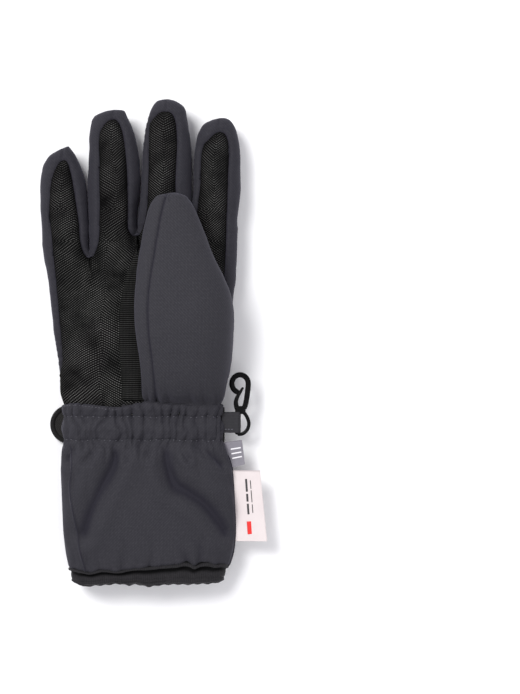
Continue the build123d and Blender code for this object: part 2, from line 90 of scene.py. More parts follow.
# Each finger's outline from above: y, left x, right x.
FINGERS = {
    "little": (
        (94, -55.9, -30.4), (102, -56.5, -30.6), (109, -56.7, -30.9), (117.5, -56.5, -31.6),
        (124, -55.8, -33.2), (129.4, -54.6, -35.2), (132.8, -52.2, -36.8), (134.8, -49.4, -38.0),
        (136.7, -45.6, -39.5), (137.9, -43.0, -40.5), (138.4, -42.0, -41.0),
    ),
    "ring": (
        (96, -30.4, -4.0), (109, -30.9, -2.4), (122.7, -30.9, -2.3), (129.4, -30.7, -2.7),
        (137, -30.3, -3.8), (144.4, -29.8, -5.5), (150.3, -29.1, -7.3), (153.4, -28.2, -8.8),
        (155.6, -26.2, -9.8), (157.0, -23.0, -10.4), (157.9, -19.6, -11.3), (158.3, -16.6, -12.6),
    ),
    "middle": (
        (100, -2.0, 25.3), (110, -2.0, 25.7), (124.2, -1.9, 25.7), (131.7, -1.6, 25.5),
        (139, -1.0, 24.8), (146.6, 0.1, 23.9), (154, 1.7, 22.8), (157.8, 2.8, 22.1), (160.0, 3.8, 20.9),
        (161.9, 5.2, 18.6), (163.4, 7.2, 15.2), (164.0, 9.2, 12.6),
    ),
    "index": (
        (98, 25.4, 50.9), (109, 25.8, 51.7), (117, 25.9, 52.0), (124, 26.0, 51.9), (131.7, 26.3, 51.6),
        (137.6, 27.1, 51.2), (142.9, 28.2, 50.5), (147.3, 29.6, 49.3), (149.6, 31.0, 48.3),
        (151.6, 33.6, 46.9), (153.0, 37.2, 45.0), (153.6, 40.0, 43.4),
    ),
}
SIDE_STRIPS = ("outer", "little_ring", "ring_middle", "middle_index", "inner")
STRIP_BOUNDS_X = (-38.0, -17.0, 11.0, 37.0)  # between one side strip and the next
TIP_SEAM_X = (-43.8, -17.0, 11.6, 40.0)
NAMES = list(FINGERS)
FINGER_Z = 12.0  # height of every finger's widest line
FINGER_THICK = 10.4
TIP_TAPER = 20.0  # how far before its end a finger starts to get thinner
TIP_POWER = 2.4  # how blunt its end is
PALM_TOP = 13.4  # above the widest line
PALM_LOW = 12.2  # below it
ARCH_POWER = 0.82  # how round a finger is
PALM_POWER = 2.9  # how square the palm is
CUFF_POWER = 2.6  # how square the gauntlet is
THUMB_POWER = 0.86
BACK_SEAM_Z = 5.5
BEND_REACH = 10.0  # each finger's tip pieces start this much before its hinge; its bend would take as much on each side

# The black grip panel's edge from above, clockwise from the wrist: x, y.
GRIP_EDGE = (
    (-44.6, -8), (-45.1, 23), (-46.9, 52), (-49.8, 84), (-51.7, 104), (-50.4, 118), (-47.6, 126.4),
    (-44.6, 130.2), (-41.4, 130.6), (-39.4, 126.4), (-37.0, 114.5), (-34.7, 100), (-33.3, 86),
    (-29.5, 79.0), (-25.6, 86), (-24.4, 100), (-24.6, 124), (-24.9, 142), (-22.6, 148.6),
    (-18.6, 152.8), (-14.4, 152.6), (-11.2, 146), (-8.9, 128), (-8.1, 104), (-8.0, 94), (-5.2, 90.5),
    (-2.2, 93.5), (0.4, 104), (1.2, 124), (1.6, 148), (4.1, 153.3), (9.0, 156.9), (14.6, 156.2),
    (17.4, 151), (18.2, 140), (17.2, 116), (19.5, 96), (24.0, 86), (26.6, 98), (28.8, 116), (30.0, 136),
    (33.8, 141.3), (39.6, 145.9), (44.2, 144.4), (46.1, 136), (45.3, 116), (44.7, 90), (43.6, 66),
    (41.5, 48), (39.0, 20), (37.0, -8),
)
WEB_EDGE = (
    (-4.2, 84), (-6.2, 76), (-10.4, 64), (-13.2, 48), (-13.0, 30), (-12.0, 12), (-11.5, -6),
)

# The thumb: y, left x, right x, the widest line's z at the left and the right, lowest z, highest z.
THUMB_STATIONS = (
    (-4, 1.2, 40.2, 20.6, 16.0, 19.0, 22.2), (1, 0.5, 41.2, 22.0, 16.0, 20.6, 25.2),
    (4, 0.0, 42.4, 25.0, 16.5, 21.0, 30.4), (8, -0.5, 43.6, 28.2, 17.0, 21.4, 34.0),
    (15, -1.2, 45.4, 31.2, 17.6, 22.0, 38.0), (26, -2.0, 47.2, 33.4, 18.6, 23.0, 41.8),
    (39, -3.6, 48.0, 34.8, 20.4, 24.0, 44.8), (51, -4.2, 47.7, 35.2, 23.6, 25.0, 46.0),
    (59, -3.9, 46.2, 35.2, 28.0, 25.6, 46.0), (67, -3.2, 43.4, 35.2, 32.4, 26.0, 45.8),
    (79, -1.9, 37.2, 35.2, 34.8, 26.2, 45.2), (89, -0.4, 33.4, 35.0, 35.0, 26.4, 44.2),
    (97.5, 1.4, 30.2, 34.8, 34.8, 26.8, 43.0), (103.5, 3.1, 27.5, 34.4, 34.4, 27.2, 41.8),
    (108.0, 5.6, 24.8, 34.0, 34.0, 28.2, 40.0), (110.6, 9.0, 21.6, 33.8, 33.8, 30.0, 37.8),
    (111.8, 13.6, 17.4, 33.7, 33.7, 33.0, 34.6),
)
THUMB_SEAM = (
    (-6, 6.6), (2, 6.5), (23, 4.9), (40, 3.2), (54, 2.9), (65, 4.0), (76, 5.8), (87, 7.6), (98, 9.6),
    (114, 13.4),
)
WEB_YS = (-5.5, 83.0)  # where the ribbed web beside the thumb starts and ends
WEB_RIGHT = 9.0  # x of its edge under the thumb
THUMB_TURN = ((21, 2.0, 34), (21, 34.0, 34))  # where the thumb's cloth would start and end taking up its swing

# The wrist and the gauntlet: y, left x, right x, lowest z, highest z.
CUFF_STATIONS = (
    (1.5, -43.8, 41.4, 4.6, 24.8), (-2, -44.5, 42.1, 4.3, 25.6), (-7, -43.8, 41.5, 5.2, 24.0),
    (-13, -44.8, 42.4, 4.4, 25.6), (-20, -43.9, 41.7, 5.0, 24.1), (-25, -44.4, 43.4, 3.4, 25.6),
    (-33, -44.9, 46.0, 1.2, 26.8), (-42, -45.1, 47.4, 0.5, 27.2), (-58, -44.5, 48.3, 0.4, 27.3),
    (-72, -43.6, 48.3, 0.4, 26.7), (-81, -42.6, 47.2, 0.5, 25.8), (-88, -41.2, 45.0, 0.9, 24.6),
    (-94, -40.0, 42.8, 1.6, 23.2), (-99, -39.4, 42.0, 2.4, 22.4),
)
# Edges on the side that faces up: x, y.
WRIST_EDGE = (
    (-46, -0.4), (-36, 0.4), (-24, -0.8), (-13, -1.8), (-5, 0.2), (4, 1.7), (14, 0.3), (26, 0.9),
    (38, 0.5), (46, -0.4),
)
HEM_TOP = (
    (-46, -89.0), (-39, -89.1), (-33, -90.0), (-29, -90.9), (-23, -89.3), (-13, -89.9), (-9, -88.8),
    (3, -87.3), (10, -86.5), (17, -86.0), (21, -85.1), (23.5, -85.8), (26, -87.1), (29, -85.7),
    (33, -85.5), (36.5, -86.6), (41, -86.6), (46, -88.2),
)
HEM_FOOT = (
    (-46, -95.6), (-39, -97.0), (-35, -98.2), (-32, -97.7), (-24, -97.1), (-14, -96.4), (-9, -97.1),
    (-5, -96.6), (2.5, -97.8), (10, -97.0), (19, -96.6), (26, -96.8), (33, -96.5), (41, -96.4),
    (46, -95.2),
)
HEM_TOP_BACK = -88.5  # the same two edges on the back
HEM_FOOT_BACK = -96.8
# Rows of cloth turned under at the wrist's upper edge and at the hem: how deep they lie, and how far back.
WRIST_TUCK = ((0.9, 0.25), (1.7, 1.2), (2.1, 3.5))
HEM_TUCK = ((2.4, -0.5), (3.6, 0.4), (4.3, 2.0), (4.5, 4.4), (4.4, 7.2))
# The hem's relief: share of the way from its top edge to its foot, and how far it stands out there.
HEM_PROFILE = (
    (0.0, -1.7), (0.05, -0.9), (0.10, 0.45), (0.16, 0.50), (0.22, -0.9), (0.30, -1.2), (0.48, -0.5),
    (0.66, -0.1), (0.76, -0.4), (0.82, 0.0), (0.92, -0.1), (1.0, -1.5),
)
UPPER_ROW = -7.0  # the rows of stitches that hold the wrist elastic
LOWER_ROW = -19.6
SIDE_SEAM = (
    (0, -47), (-20, -40), (-31, -38.2), (-44, -39.4), (-56, -38.0), (-67, -36.0), (-78, -34.0),
    (-91, -31.0),
)
SEAM_ABOVE = 14.0  # the left side seam lies above this height
# Soft folds of the gauntlet: depth, width, then the line from above.
FOLDS = (
    (3.6, 3.9, ((-15, -20), (-16.5, -32), (-23.0, -45), (-29, -58), (-33, -69))),
    (3.6, 3.9, ((10, -19), (12.6, -33), (17, -43), (24, -47.5), (33, -54), (40, -62), (44.5, -68.5))),
    (2.2, 2.4, ((29, -19), (35, -26), (42, -32.5))),
    (1.8, 2.6, ((-33, -19), (-37.5, -24), (-42, -30))),
    (1.4, 1.7, ((-26, -19), (-27.5, -25), (-31, -31))),
    (1.3, 1.6, ((-8.5, -19), (-8.0, -25), (-9.5, -30))),
    (1.6, 2.6, ((-2, -19), (0, -23), (3, -26))),
    (1.2, 1.5, ((18.5, -19), (20, -25), (23.5, -30))),
    (0.9, 2.2, ((-12, -70), (-10, -79), (-11, -88))),
    (0.9, 2.4, ((2, -68), (5, -78), (3, -88))),
    (1.0, 2.0, ((19, -74), (22, -82), (25, -89))),
    (0.8, 2.0, ((30, -70), (31, -80), (31, -88))),
)
WRIST_BEND = ((0, -11, 14), (0, 1, 14))  # where the cloth would start and end taking up the wrist's bend
# How uneven the cloth is. Each size of lump: its height, its size across and along, and its seed.
HAND_PADDING = ((0.30, 9, 12, 3), (0.22, 4.2, 5.5, 4))
THUMB_PADDING = ((0.35, 13, 17, 31), (0.16, 5, 6, 32))
CUFF_DRAPE = ((0.8, 24, 30, 45), (0.4, 9, 15, 46))
HEM_RUFFLE = ((0.6, 7.5, 9, 52), (0.3, 3.2, 3, 53))
HEM_CREASES = ((0.35, 1.7, 12, 51),)
FLEECE_NAP = ((0.3, 5, 6, 61), (0.15, 1.6, 1.8, 62))
# What a seam does to the cloth beside it: how deep it sinks, and over what width.
GRIP_SINK = (1.5, 1.5)
BACK_SINK = (0.9, 1.3)
THUMB_SINK = (1.25, 1.5)
CUFF_SINK = (0.9, 1.0)

# The strap, under the wrist.
STRAP_Y = -11.9
STRAP_HALF = 10.6
STRAP_EDGE = 0.9  # the webbing stops short of the strap's outline, inside the binding
STRAP_END_X = -52.2
STRAP_Z = 2.4
BINDING_INSET = 1.3
PATCH_HALF = 8.0
STRAP_PEEL = (17.8, 10.3)  # x where the webbing would start and end taking up the peel
SEWN_END = ((15.0, 2.4), (26, 2.6), (35, 3.2), (39.6, 5.6), (41.9, 9.0), (42.5, 13.6))  # x, z
# Its two patches: first x, last x, z, half thickness, how square, number of stations.
HOOK_PATCH = (-40, -18, 3.55, 0.4, 0.25, 30)
LOOP_PATCH = (-33, 8, 4.45, 0.42, 0.3, 44)

# The clip and the tab that holds it.
CLIP_Z = 13.5
TAB_Y = -10.4
TAB_HALF = 5.6
TAB_PLY = 1.65  # from the middle of the tab to the middle of each ply
TAB_ENDS = (41.2, 49.4)
TAB_STITCHES = (43.6, 45.3, 47.0)
TAB_STITCH_Y = -14.1
CLIP_HOOK = (51.35, 10.45, 4.42, 4.75)  # centre x and y, radius across and along
CLIP_SPINE = ((55.7, 8.9), (55.4, 6.0), (54.9, 2.4), (54.2, -1.0), (53.2, -3.2))
CLIP_EYE = ((53.0, -4.6), (55.0, -7.4), (56.1, -10.9), (55.3, -14.2), (52.9, -16.5), (49.8, -16.9))
CLIP_GATE = ((49.8, -3.4), (49.2, -1.0), (49.2, 1.2), (50.2, 3.9), (51.8, 6.5), (53.1, 8.5))
BAR_X = 49.6
BAR_YS = (-4.6, -17.0)
NECK_X = 51.5
NECK_YS = (-1.6, -6.0)

# The labels: corners from above, upper inner, upper outer, lower outer, lower inner.
LABEL_Z = 13.4
LABEL_THICKNESS = 0.7
SIDE_LABEL = ((42.8, -21.2), (52.4, -19.9), (54.0, -33.0), (45.2, -35.2))
INFO_LABEL = ((46.4, -36.3), (62.1, -36.3), (66.0, -74.4), (47.9, -74.5))
SIDE_FOLD = (44.4, 47.0)  # x where each label would start and end taking up its fold
INFO_FOLD = (46.9, 49.5)
STRIPES = (0.30, 0.48, 0.66)  # shares along the small label
STRIPE_ENDS = (0.30, 0.88)  # shares across it
# Plain bars on the info label: share across, half width, then each bar's start and end along.
BAR_ROWS = (
    (0.50, 0.55, ((0.12, 0.30), (0.33, 0.44), (0.47, 0.62))),
    (0.64, 0.22, ((0.14, 0.26), (0.28, 0.45), (0.48, 0.60))),
)

RED_BAR = ((0.50, 0.72), (0.50, 0.90), 1.25)  # start and end on the label, half width

# The lining: how far it lies inside the shell, the last y it is shaped by the wrist, and its middle.
LINING_INSET = 4.6
LINING_MOUTH_Y = 1.4
LINING_X = -1.0
LINING_Z = 14.0

# How finely the grids are drawn.
HALF_COLUMNS = 36
PALM_ROWS = 92
FINGER_ROWS = 64
AROUND = 420

# Camera, ground and light. Lights: name, place in metres, size in metres, watts.
CAMERA_DISTANCE = 1.06  # metres
FRAME_HEIGHT = 374.8  # millimetres that the picture's height takes in at the height of the glove's outline
FRAME_CENTRE = (62.1, 30.2, 12.0)
SENSOR = 36.0
GROUND_HALF = 3.0  # metres
LIGHTS = (("key_light", (-0.55, 0.60, 1.15), 0.6, 18.5), ("fill_light", (0.8, -0.5, 1.2), 1.0, 7.0))
LIGHT_TARGET = (0, 0, 0.02)
WORLD_COLOUR = (0.94, 0.93, 1.0, 1.0)
WORLD_STRENGTH = 0.58


# ------------------------------------------------------------------ small tools
def place(points):
    """Points in the glove's own frame, in millimetres, as points in the row frame, in metres."""
    return np.asarray(points, float) * MM + ORIGIN


def smooth(low, high, value):
    """0 below low, 1 above high, and a smooth rise between."""
    t = np.clip((value - low) / (high - low), 0.0, 1.0)
    return t * t * (3 - 2 * t)


def along(table, place_in, column=1):
    """A smooth reading of one column of a table whose first column is the place."""
    rows = sorted(table, key=lambda r: r[0])
    ys = np.array([r[0] for r in rows], float)
    vs = np.array([r[column] for r in rows], float)
    slopes = np.gradient(vs, ys)
    y = np.clip(place_in, ys[0], ys[-1])
    k = np.clip(np.searchsorted(ys, y, side="right") - 1, 0, len(ys) - 2)
    h = ys[k + 1] - ys[k]
    t = (y - ys[k]) / h
    return (
        (2 * t**3 - 3 * t**2 + 1) * vs[k]
        + (t**3 - 2 * t**2 + t) * h * slopes[k]
        + (3 * t**2 - 2 * t**3) * vs[k + 1]
        + (t**3 - t**2) * h * slopes[k + 1]
    )


def bump(distance, width):
    """1 where the distance is nothing, and a smooth fall to nothing over a width."""
    return np.exp(-((distance / width) ** 2))


def pleats(count):
    """0 to 1 and back over each unit, with a sharp valley at every whole number."""
    return np.abs(np.sin(np.pi * count))


def noise(u, v, seed):
    """Smooth noise from -1 to 1 with a cell of one unit."""
    table = np.random.default_rng(seed).uniform(-1, 1, (64, 64))
    u, v = np.broadcast_arrays(np.asarray(u, float), np.asarray(v, float))
    iu, iv = np.floor(u).astype(int), np.floor(v).astype(int)
    fu, fv = u - iu, v - iv
    fu, fv = fu * fu * (3 - 2 * fu), fv * fv * (3 - 2 * fv)

    def at(a, b):
        return table[a % 64, b % 64]

    low = at(iu, iv) * (1 - fu) + at(iu + 1, iv) * fu
    high = at(iu, iv + 1) * (1 - fu) + at(iu + 1, iv + 1) * fu
    return low * (1 - fv) + high * fv


def cuff_noise(u, v, seed):
    """The same noise, further along its table."""
    return noise(u + 40, v + 40, seed)


def unevenness(parts, u, v, source=noise):
    """Noise of several sizes added up; each part is its height, its size across and along, and its seed."""
    return sum(height * source(u / across, v / down, seed) for height, across, down, seed in parts)


def curve_through(points, closed=False, steps=8):
    """A smooth line through points, as an array."""
    p = np.array(points, float)
    if closed:
        p = np.vstack([p[-1], p, p[0], p[1]])
    else:
        p = np.vstack([2 * p[0] - p[1], p, 2 * p[-1] - p[-2]])
    t = np.linspace(0, 1, steps, endpoint=False)[:, None]
    out = []
    for a, b, c, d in zip(p, p[1:], p[2:], p[3:]):
        out.append(b + 0.5 * t * (c - a + t * (2 * a - 5 * b + 4 * c - d + t * (3 * (b - c) + d - a))))
    if not closed:
        out.append(p[-2][None])
    return np.vstack(out)


def distance_to_line(x, y, line, closed=False):
    """Distance in plan from points to a line."""
    ends = np.vstack([line[1:], line[:1]]) if closed else line[1:]
    starts = line if closed else line[:-1]
    best = np.full(np.shape(x), 1e9)
    for (ax, ay), (bx, by) in zip(starts, ends):
        dx, dy = bx - ax, by - ay
        t = np.clip(((x - ax) * dx + (y - ay) * dy) / (dx * dx + dy * dy + 1e-12), 0, 1)
        best = np.minimum(best, np.hypot(x - ax - t * dx, y - ay - t * dy))
    return best


def inside(x, y, outline):
    """Whether points lie inside a closed outline, in plan."""
    odd = np.zeros(np.shape(x), bool)
    for (ax, ay), (bx, by) in zip(outline, np.vstack([outline[1:], outline[:1]])):
        if ay != by:
            odd ^= ((ay > y) != (by > y)) & (x < (bx - ax) * (y - ay) / (by - ay) + ax)
    return odd


def press_on_ground(z):
    """The same heights, softly flattened where they would go below the ground."""
    return np.where(z < 1.5, 0.15 + 1.35 * np.exp((z - 1.5) / 1.35), z)


def grid_faces(rows, columns, closed=False, first=0):
    """Quads of a grid of rows by columns, joined round when closed."""
    faces = []
    for r in range(rows - 1):
        a = first + r * columns
        for c in range(columns if closed else columns - 1):
            d = (c + 1) % columns
            faces.append((a + c, a + d, a + columns + d, a + columns + c))
    return faces


def mesh_object(name, points, faces, weave, normals=None):
    """A smooth-shaded object from points in the row frame. weave is each point's place on the flat cloth in
    metres, and where it has a third number, how much painted shade the point gets beside a seam or in a
    crease, in mm."""
    mesh = bpy.data.meshes.new(name)
    mesh.from_pydata([tuple(p) for p in points], [], [tuple(f) for f in faces])
    mesh.shade_smooth()
    thing = bpy.data.objects.new(name, mesh)
    bpy.context.scene.collection.objects.link(thing)
    weave = np.asarray(weave)
    flat = np.zeros((len(points), 3))
    flat[:, : weave.shape[1]] = weave
    mesh.attributes.new("weave", "FLOAT_VECTOR", "POINT").data.foreach_set("vector", flat.ravel())
    if normals is not None:
        mesh.normals_split_custom_set_from_vertices([tuple(n) for n in normals])
    return thing


def bend_between(first, second, start, end):
    """Two bodies and a start and end, which finish_piece takes for a body where a piece would bend between
    them; it sets up no bend.
    """
    return (first, second, tuple(place(start)), tuple(place(end)))


def finish_piece(thing, material, body, stands_for=()):
    """Gives a piece its material, parents it to its body when that is a name and otherwise only bakes it in
    place, and hides the CAD nodes that it stands for.
    """
    thing.data.materials.clear()
    thing.data.materials.append(material)
    if isinstance(body, str):
        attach(thing, body)
    else:
        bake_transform(thing)
    if stands_for:
        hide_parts(*stands_for)


# ------------------------------------------------------------------ cloth surfaces that are cut into panels
class Cloth:
    """A surface with its points, its place on the flat cloth, and the values that say where it is cut."""

    def __init__(self, points, weave, faces, tags):
        self.points = np.array(points, float)
        self.weave = np.array(weave, float)
        self.shade = np.zeros(len(self.points))
        self.values = {}
        self.bm = bmesh.new()
        self.number = self.bm.verts.layers.int.new("number")
        verts = []
        for k, point in enumerate(self.points):
            vert = self.bm.verts.new(point)
            vert[self.number] = k
            verts.append(vert)
        for face, tag in zip(faces, tags):
            corners = list(dict.fromkeys(face))
            if len(corners) > 2:
                self.bm.faces.new([verts[i] for i in corners]).material_index = tag

    def cut(self, name, values):
        """Cuts the surface along the line where values pass through zero, and keeps the values by name."""
        column = np.array(values, float)
        self.values[name] = column
        crossing = []
        for edge in self.bm.edges:
            a, b = (v[self.number] for v in edge.verts)
            if column[a] * column[b] < 0:
                share = min(max(column[a] / (column[a] - column[b]), 0.02), 0.98)
                crossing.append((edge, a, b, share))
        if not crossing:
            return
        fresh = set()
        for k, (edge, a, b, share) in enumerate(crossing):
            vert = bmesh.utils.edge_split(edge, edge.verts[0], share)[1]
            vert[self.number] = len(self.points) + k
            fresh.add(vert)
        starts = [a for _, a, _, _ in crossing]
        ends = [b for _, _, b, _ in crossing]
        t = np.array([share for _, _, _, share in crossing])

        def extended(rows):
            weight = t if rows.ndim == 1 else t[:, None]
            return np.concatenate([rows, rows[starts] * (1 - weight) + rows[ends] * weight])

        self.points = extended(self.points)
        self.weave = extended(self.weave)
        self.shade = extended(self.shade)
        self.values = {key: extended(rows) for key, rows in self.values.items()}
        self.values[name][-len(t) :] = 0.0
        for face in list(self.bm.faces):
            corners = [v for v in face.verts if v in fresh]
            if len(corners) == 2 and not any(corners[1] in e.verts for e in corners[0].link_edges):
                bmesh.utils.face_split(face, corners[0], corners[1])

    def normals(self):
        """Each point's normal, for the points as they are now."""
        for vert in self.bm.verts:
            vert.co = self.points[vert[self.number]]
        self.bm.normal_update()
        out = np.zeros(self.points.shape)
        for vert in self.bm.verts:
            out[vert[self.number]] = vert.normal
        return out

    def seam(self, where, depth, width):
        """How deep each point sinks beside the points chosen by where, as cloth does at a seam.
        It also paints shade on the cloth there, in a narrow band along the seam."""
        tree = KDTree(int(where.sum()))
        for k, point in enumerate(self.points[where]):
            tree.insert(point, k)
        tree.balance()
        reach = np.array([tree.find(p)[2] for p in self.points])
        # Painted shade in a narrow band along the seam.
        self.shade = np.maximum(self.shade, bump(reach, 0.55))
        return depth * (0.6 * bump(reach, width) + 0.4 * bump(reach, 0.5))

    def pieces(self, choose):
        """The surface taken apart, as {key: object}. choose(tag, means, middle) gives the key of a face."""
        normals = self.normals()
        groups = {}
        for face in self.bm.faces:
            corners = [v[self.number] for v in face.verts]
            means = {name: column[corners].mean() for name, column in self.values.items()}
            key = choose(face.material_index, means, self.points[corners].mean(axis=0))
            groups.setdefault(key, []).append(corners)
        made = {}
        for key, faces in groups.items():
            used = sorted({i for f in faces for i in f})
            fresh = {old: k for k, old in enumerate(used)}
            renamed = [[fresh[i] for i in f] for f in faces]
            cloth_place = np.column_stack([self.weave[used], self.shade[used]]) * MM
            made[key] = mesh_object(key, place(self.points[used]), renamed, cloth_place, normals[used])
        return made


# ------------------------------------------------------------------ the hand
def tip_thickness(distance):
    """Share of the full thickness at a distance from the fingertip."""
    left = 1 - np.clip(distance / TIP_TAPER, 0, 1)
    return (1 - left**TIP_POWER) ** (1 / TIP_POWER)


def arch(theta, thickness):
    """A finger's height over its widest line."""
    return thickness * np.abs(np.sin(theta)) ** ARCH_POWER


def boundary(index, share):
    """x and y of the line between two fingers, or of the hand's side, part of the way to the crotch."""
    if index in (0, len(NAMES)):
        side = LEFT_SIDE if index == 0 else RIGHT_SIDE
        y = HAND_START + share * (CROTCHES[0 if index == 0 else -1][2] - HAND_START)
        return float(along(side, y)), y
    wrist_x, crotch_x, crotch_y = CROTCHES[index - 1]
    return wrist_x + (crotch_x - wrist_x) * share, HAND_START + share * (crotch_y - HAND_START)


def palm_height(x, y, side):
    """Height of the palm over its widest line; side is 1 for the top and -1 for the back."""
    left, right = along(LEFT_SIDE, y), along(RIGHT_SIDE, y)
    u = np.clip(np.abs((2 * x - left - right) / (right - left)), 0, 1)
    full = PALM_TOP if side > 0 else PALM_LOW
    near_wrist = 1 - smooth(0, 20, y)
    return (full - near_wrist * (2.4 if side > 0 else 6.5)) * (1 - u**PALM_POWER) ** (1 / PALM_POWER)


def palm_patch(finger, side):
    """The grid of the part of the palm that leads to one finger, on the top or the back."""
    theta = np.linspace(math.pi, 0, HALF_COLUMNS + 1)
    outer_left = (theta > math.pi / 2) & (finger == 0)
    outer_right = (theta < math.pi / 2) & (finger == len(NAMES) - 1)
    outer_edge = outer_left | outer_right
    rows = []
    for share in np.linspace(0, 1, PALM_ROWS + 1):
        (xl, yl), (xr, yr) = boundary(finger, share), boundary(finger + 1, share)
        x = (xl + xr) / 2 + (xr - xl) / 2 * np.cos(theta)
        across = (x - xl) / (xr - xl)
        y = yl + (yr - yl) * across
        crotch_left, crotch_right = CROTCHES[max(finger - 1, 0)][2], CROTCHES[min(finger, 2)][2]
        below = np.maximum(crotch_left + (crotch_right - crotch_left) * across - y, 0)
        fade = np.where(outer_edge, 1 - smooth(0, 38, below), 1 - smooth(0, 11 + 24 * np.sin(theta), below))
        height = palm_height(x, y, side)
        height = height + (arch(theta, FINGER_THICK) - height) * fade
        valley = 0.5 * (1 - np.sin(theta)) * (1 - smooth(6, 22, below)) * smooth(0, 6, below)
        height = height - np.where(outer_edge, 0, valley)
        rows.append(np.stack([x, y, FINGER_Z + side * height], 1))
    return np.array(rows)


def finger_patch(finger, side):
    """The grid of one finger beyond the crotches, on the top or the back."""
    outline = FINGERS[NAMES[finger]]
    tip_y = outline[-1][0]
    theta = np.linspace(math.pi, 0, HALF_COLUMNS + 1)
    (xl, yl), (xr, yr) = boundary(finger, 1.0), boundary(finger + 1, 1.0)
    base_x, base_width = (xl + xr) / 2, (xr - xl) / 2
    base_y = yl + (yr - yl) * (1 + np.cos(theta)) / 2
    rows = []
    for share in np.linspace(0, 1, FINGER_ROWS + 1):
        y = base_y + (tip_y - base_y) * (1 - (1 - share) ** 1.8)
        started = smooth(0, 22, y - base_y)
        left, right = along(outline, y, 1), along(outline, y, 2)
        centre = base_x + ((left + right) / 2 - base_x) * started
        width = base_width + ((right - left) / 2 - base_width) * started - 0.15 * smooth(0, 1.5, y - base_y)
        x = centre + np.maximum(width, 0.02) * np.cos(theta)
        z = FINGER_Z + side * arch(theta, FINGER_THICK * tip_thickness(tip_y - y))
        rows.append(np.stack([x, y, z], 1))
    return np.array(rows)


def run_across(grid):
    """How far along the surface each point of a grid is from the first of its row."""
    steps = np.linalg.norm(np.diff(grid, axis=1)[:, :, [0, 2]], axis=2)
    return np.concatenate([np.zeros((len(grid), 1)), np.cumsum(steps, axis=1)], axis=1)


def cloth_across(patch):
    """Where across the cloth each point of a patch is: its distance along the surface from the middle."""
    length = run_across(patch)
    middle = patch.shape[1] // 2
    return patch[:, middle : middle + 1, 0] + length - length[:, middle : middle + 1]


def hand_cloth():
    """The whole hand as one surface, with the four fingers' faces tagged 0 to 3."""
    known, points, weave, faces, tags = {}, [], [], [], []
    for finger in range(len(NAMES)):
        for side in (1, -1):
            for patch in (palm_patch(finger, side), finger_patch(finger, side)):
                across = cloth_across(patch)
                numbers = []
                for point, u in zip(patch.reshape(-1, 3), across.ravel()):
                    key = tuple(np.round(point, 2))
                    if key not in known:
                        known[key] = len(points)
                        points.append(point)
                        weave.append((u, point[1]))
                    numbers.append(known[key])
                for quad in grid_faces(patch.shape[0], patch.shape[1]):
                    corners = [numbers[i] for i in quad]
                    faces.append(corners if side > 0 else corners[::-1])
                    tags.append(finger)
    return Cloth(points, weave, faces, tags)


def hinge(name):
    """Where a finger's hinge is: its x in the row frame, in metres, and its y in the glove's own frame."""
    x, y, _ = next(j["pos_m"] for j in frame["joints"] if j["name"] == f"{name}_bend")
    return x, (y - ORIGIN[1]) / MM


def grip_value(points):
    """Over zero on the black grip panel, under zero on the grey strip: the distance in plan to its edge."""
    outline = curve_through(GRIP_EDGE, closed=True, steps=5)
    x, y, z = points.T
    value = distance_to_line(x, y, outline, closed=True)
    value = np.where(inside(x, y, outline), value, -value)
    return np.where(z > FINGER_Z + 0.4, value, -6.0)


def hand_shape():
    """The hand's cloth, cut along its seams, with the seams sunk and the padding uneven."""
    cloth = hand_cloth()
    cloth.cut("grip", grip_value(cloth.points))
    cloth.cut("back", cloth.points[:, 2] - BACK_SEAM_Z)
    finger = np.zeros(len(cloth.points), int)
    for face in cloth.bm.faces:
        for vert in face.verts:
            finger[vert[cloth.number]] = face.material_index
    ends = np.array([hinge(name)[1] - BEND_REACH for name in NAMES])
    cloth.cut("finger", cloth.points[:, 1] - ends[finger])
    normals = cloth.normals()
    x, y, z = cloth.points.T
    sunk = cloth.seam(cloth.values["grip"] == 0, *GRIP_SINK)
    sunk = sunk + cloth.seam(cloth.values["back"] == 0, *BACK_SINK)
    edge_reach = cloth.values["grip"]
    # Painted shade: darkest at the grip panel's edge and fading over a few mm inside it, and an even
    # painted shade over all the hand's grey cloth.
    cloth.shade = np.maximum(cloth.shade, np.where(edge_reach > 0, np.exp(-edge_reach / 3.5), 0.4))
    web = curve_through(WEB_EDGE)
    sunk = sunk + 0.9 * bump(distance_to_line(x, y, web), 1.3) * (z > 20)
    top = smooth(9, 14, z)
    swell = unevenness(HAND_PADDING, x, y) * (0.4 + 0.6 * top)
    pucker = np.sin(2 * np.pi * (y / 3.4 + 0.7 * noise(x / 7, y / 9, 5)))
    swell = swell + 0.20 * pucker * np.exp(-((np.abs(cloth.values["grip"]) - 1.2) ** 2) / 1.6) * top
    gather = pleats(x / 5.2 + 0.5 * noise(x / 13, y / 20, 6))
    swell = swell + 0.9 * (gather - 0.5) * (1 - smooth(0, 15, y)) * smooth(1, 8, z)
    for outline, seam_x in zip(FINGERS.values(), TIP_SEAM_X):
        near = (1 - smooth(5.5, 8.0, outline[-1][0] - y)) * bump(x - seam_x, 0.6)
        near = near * smooth(FINGER_Z + 2, FINGER_Z + 5, z)
        swell = swell - 0.8 * near
        # Painted shade along each fingertip's pinched seam.
        cloth.shade = np.maximum(cloth.shade, 0.7 * near)
    cloth.points = cloth.points + (swell - sunk)[:, None] * normals
    cloth.points[:, 2] = press_on_ground(cloth.points[:, 2])
    return cloth


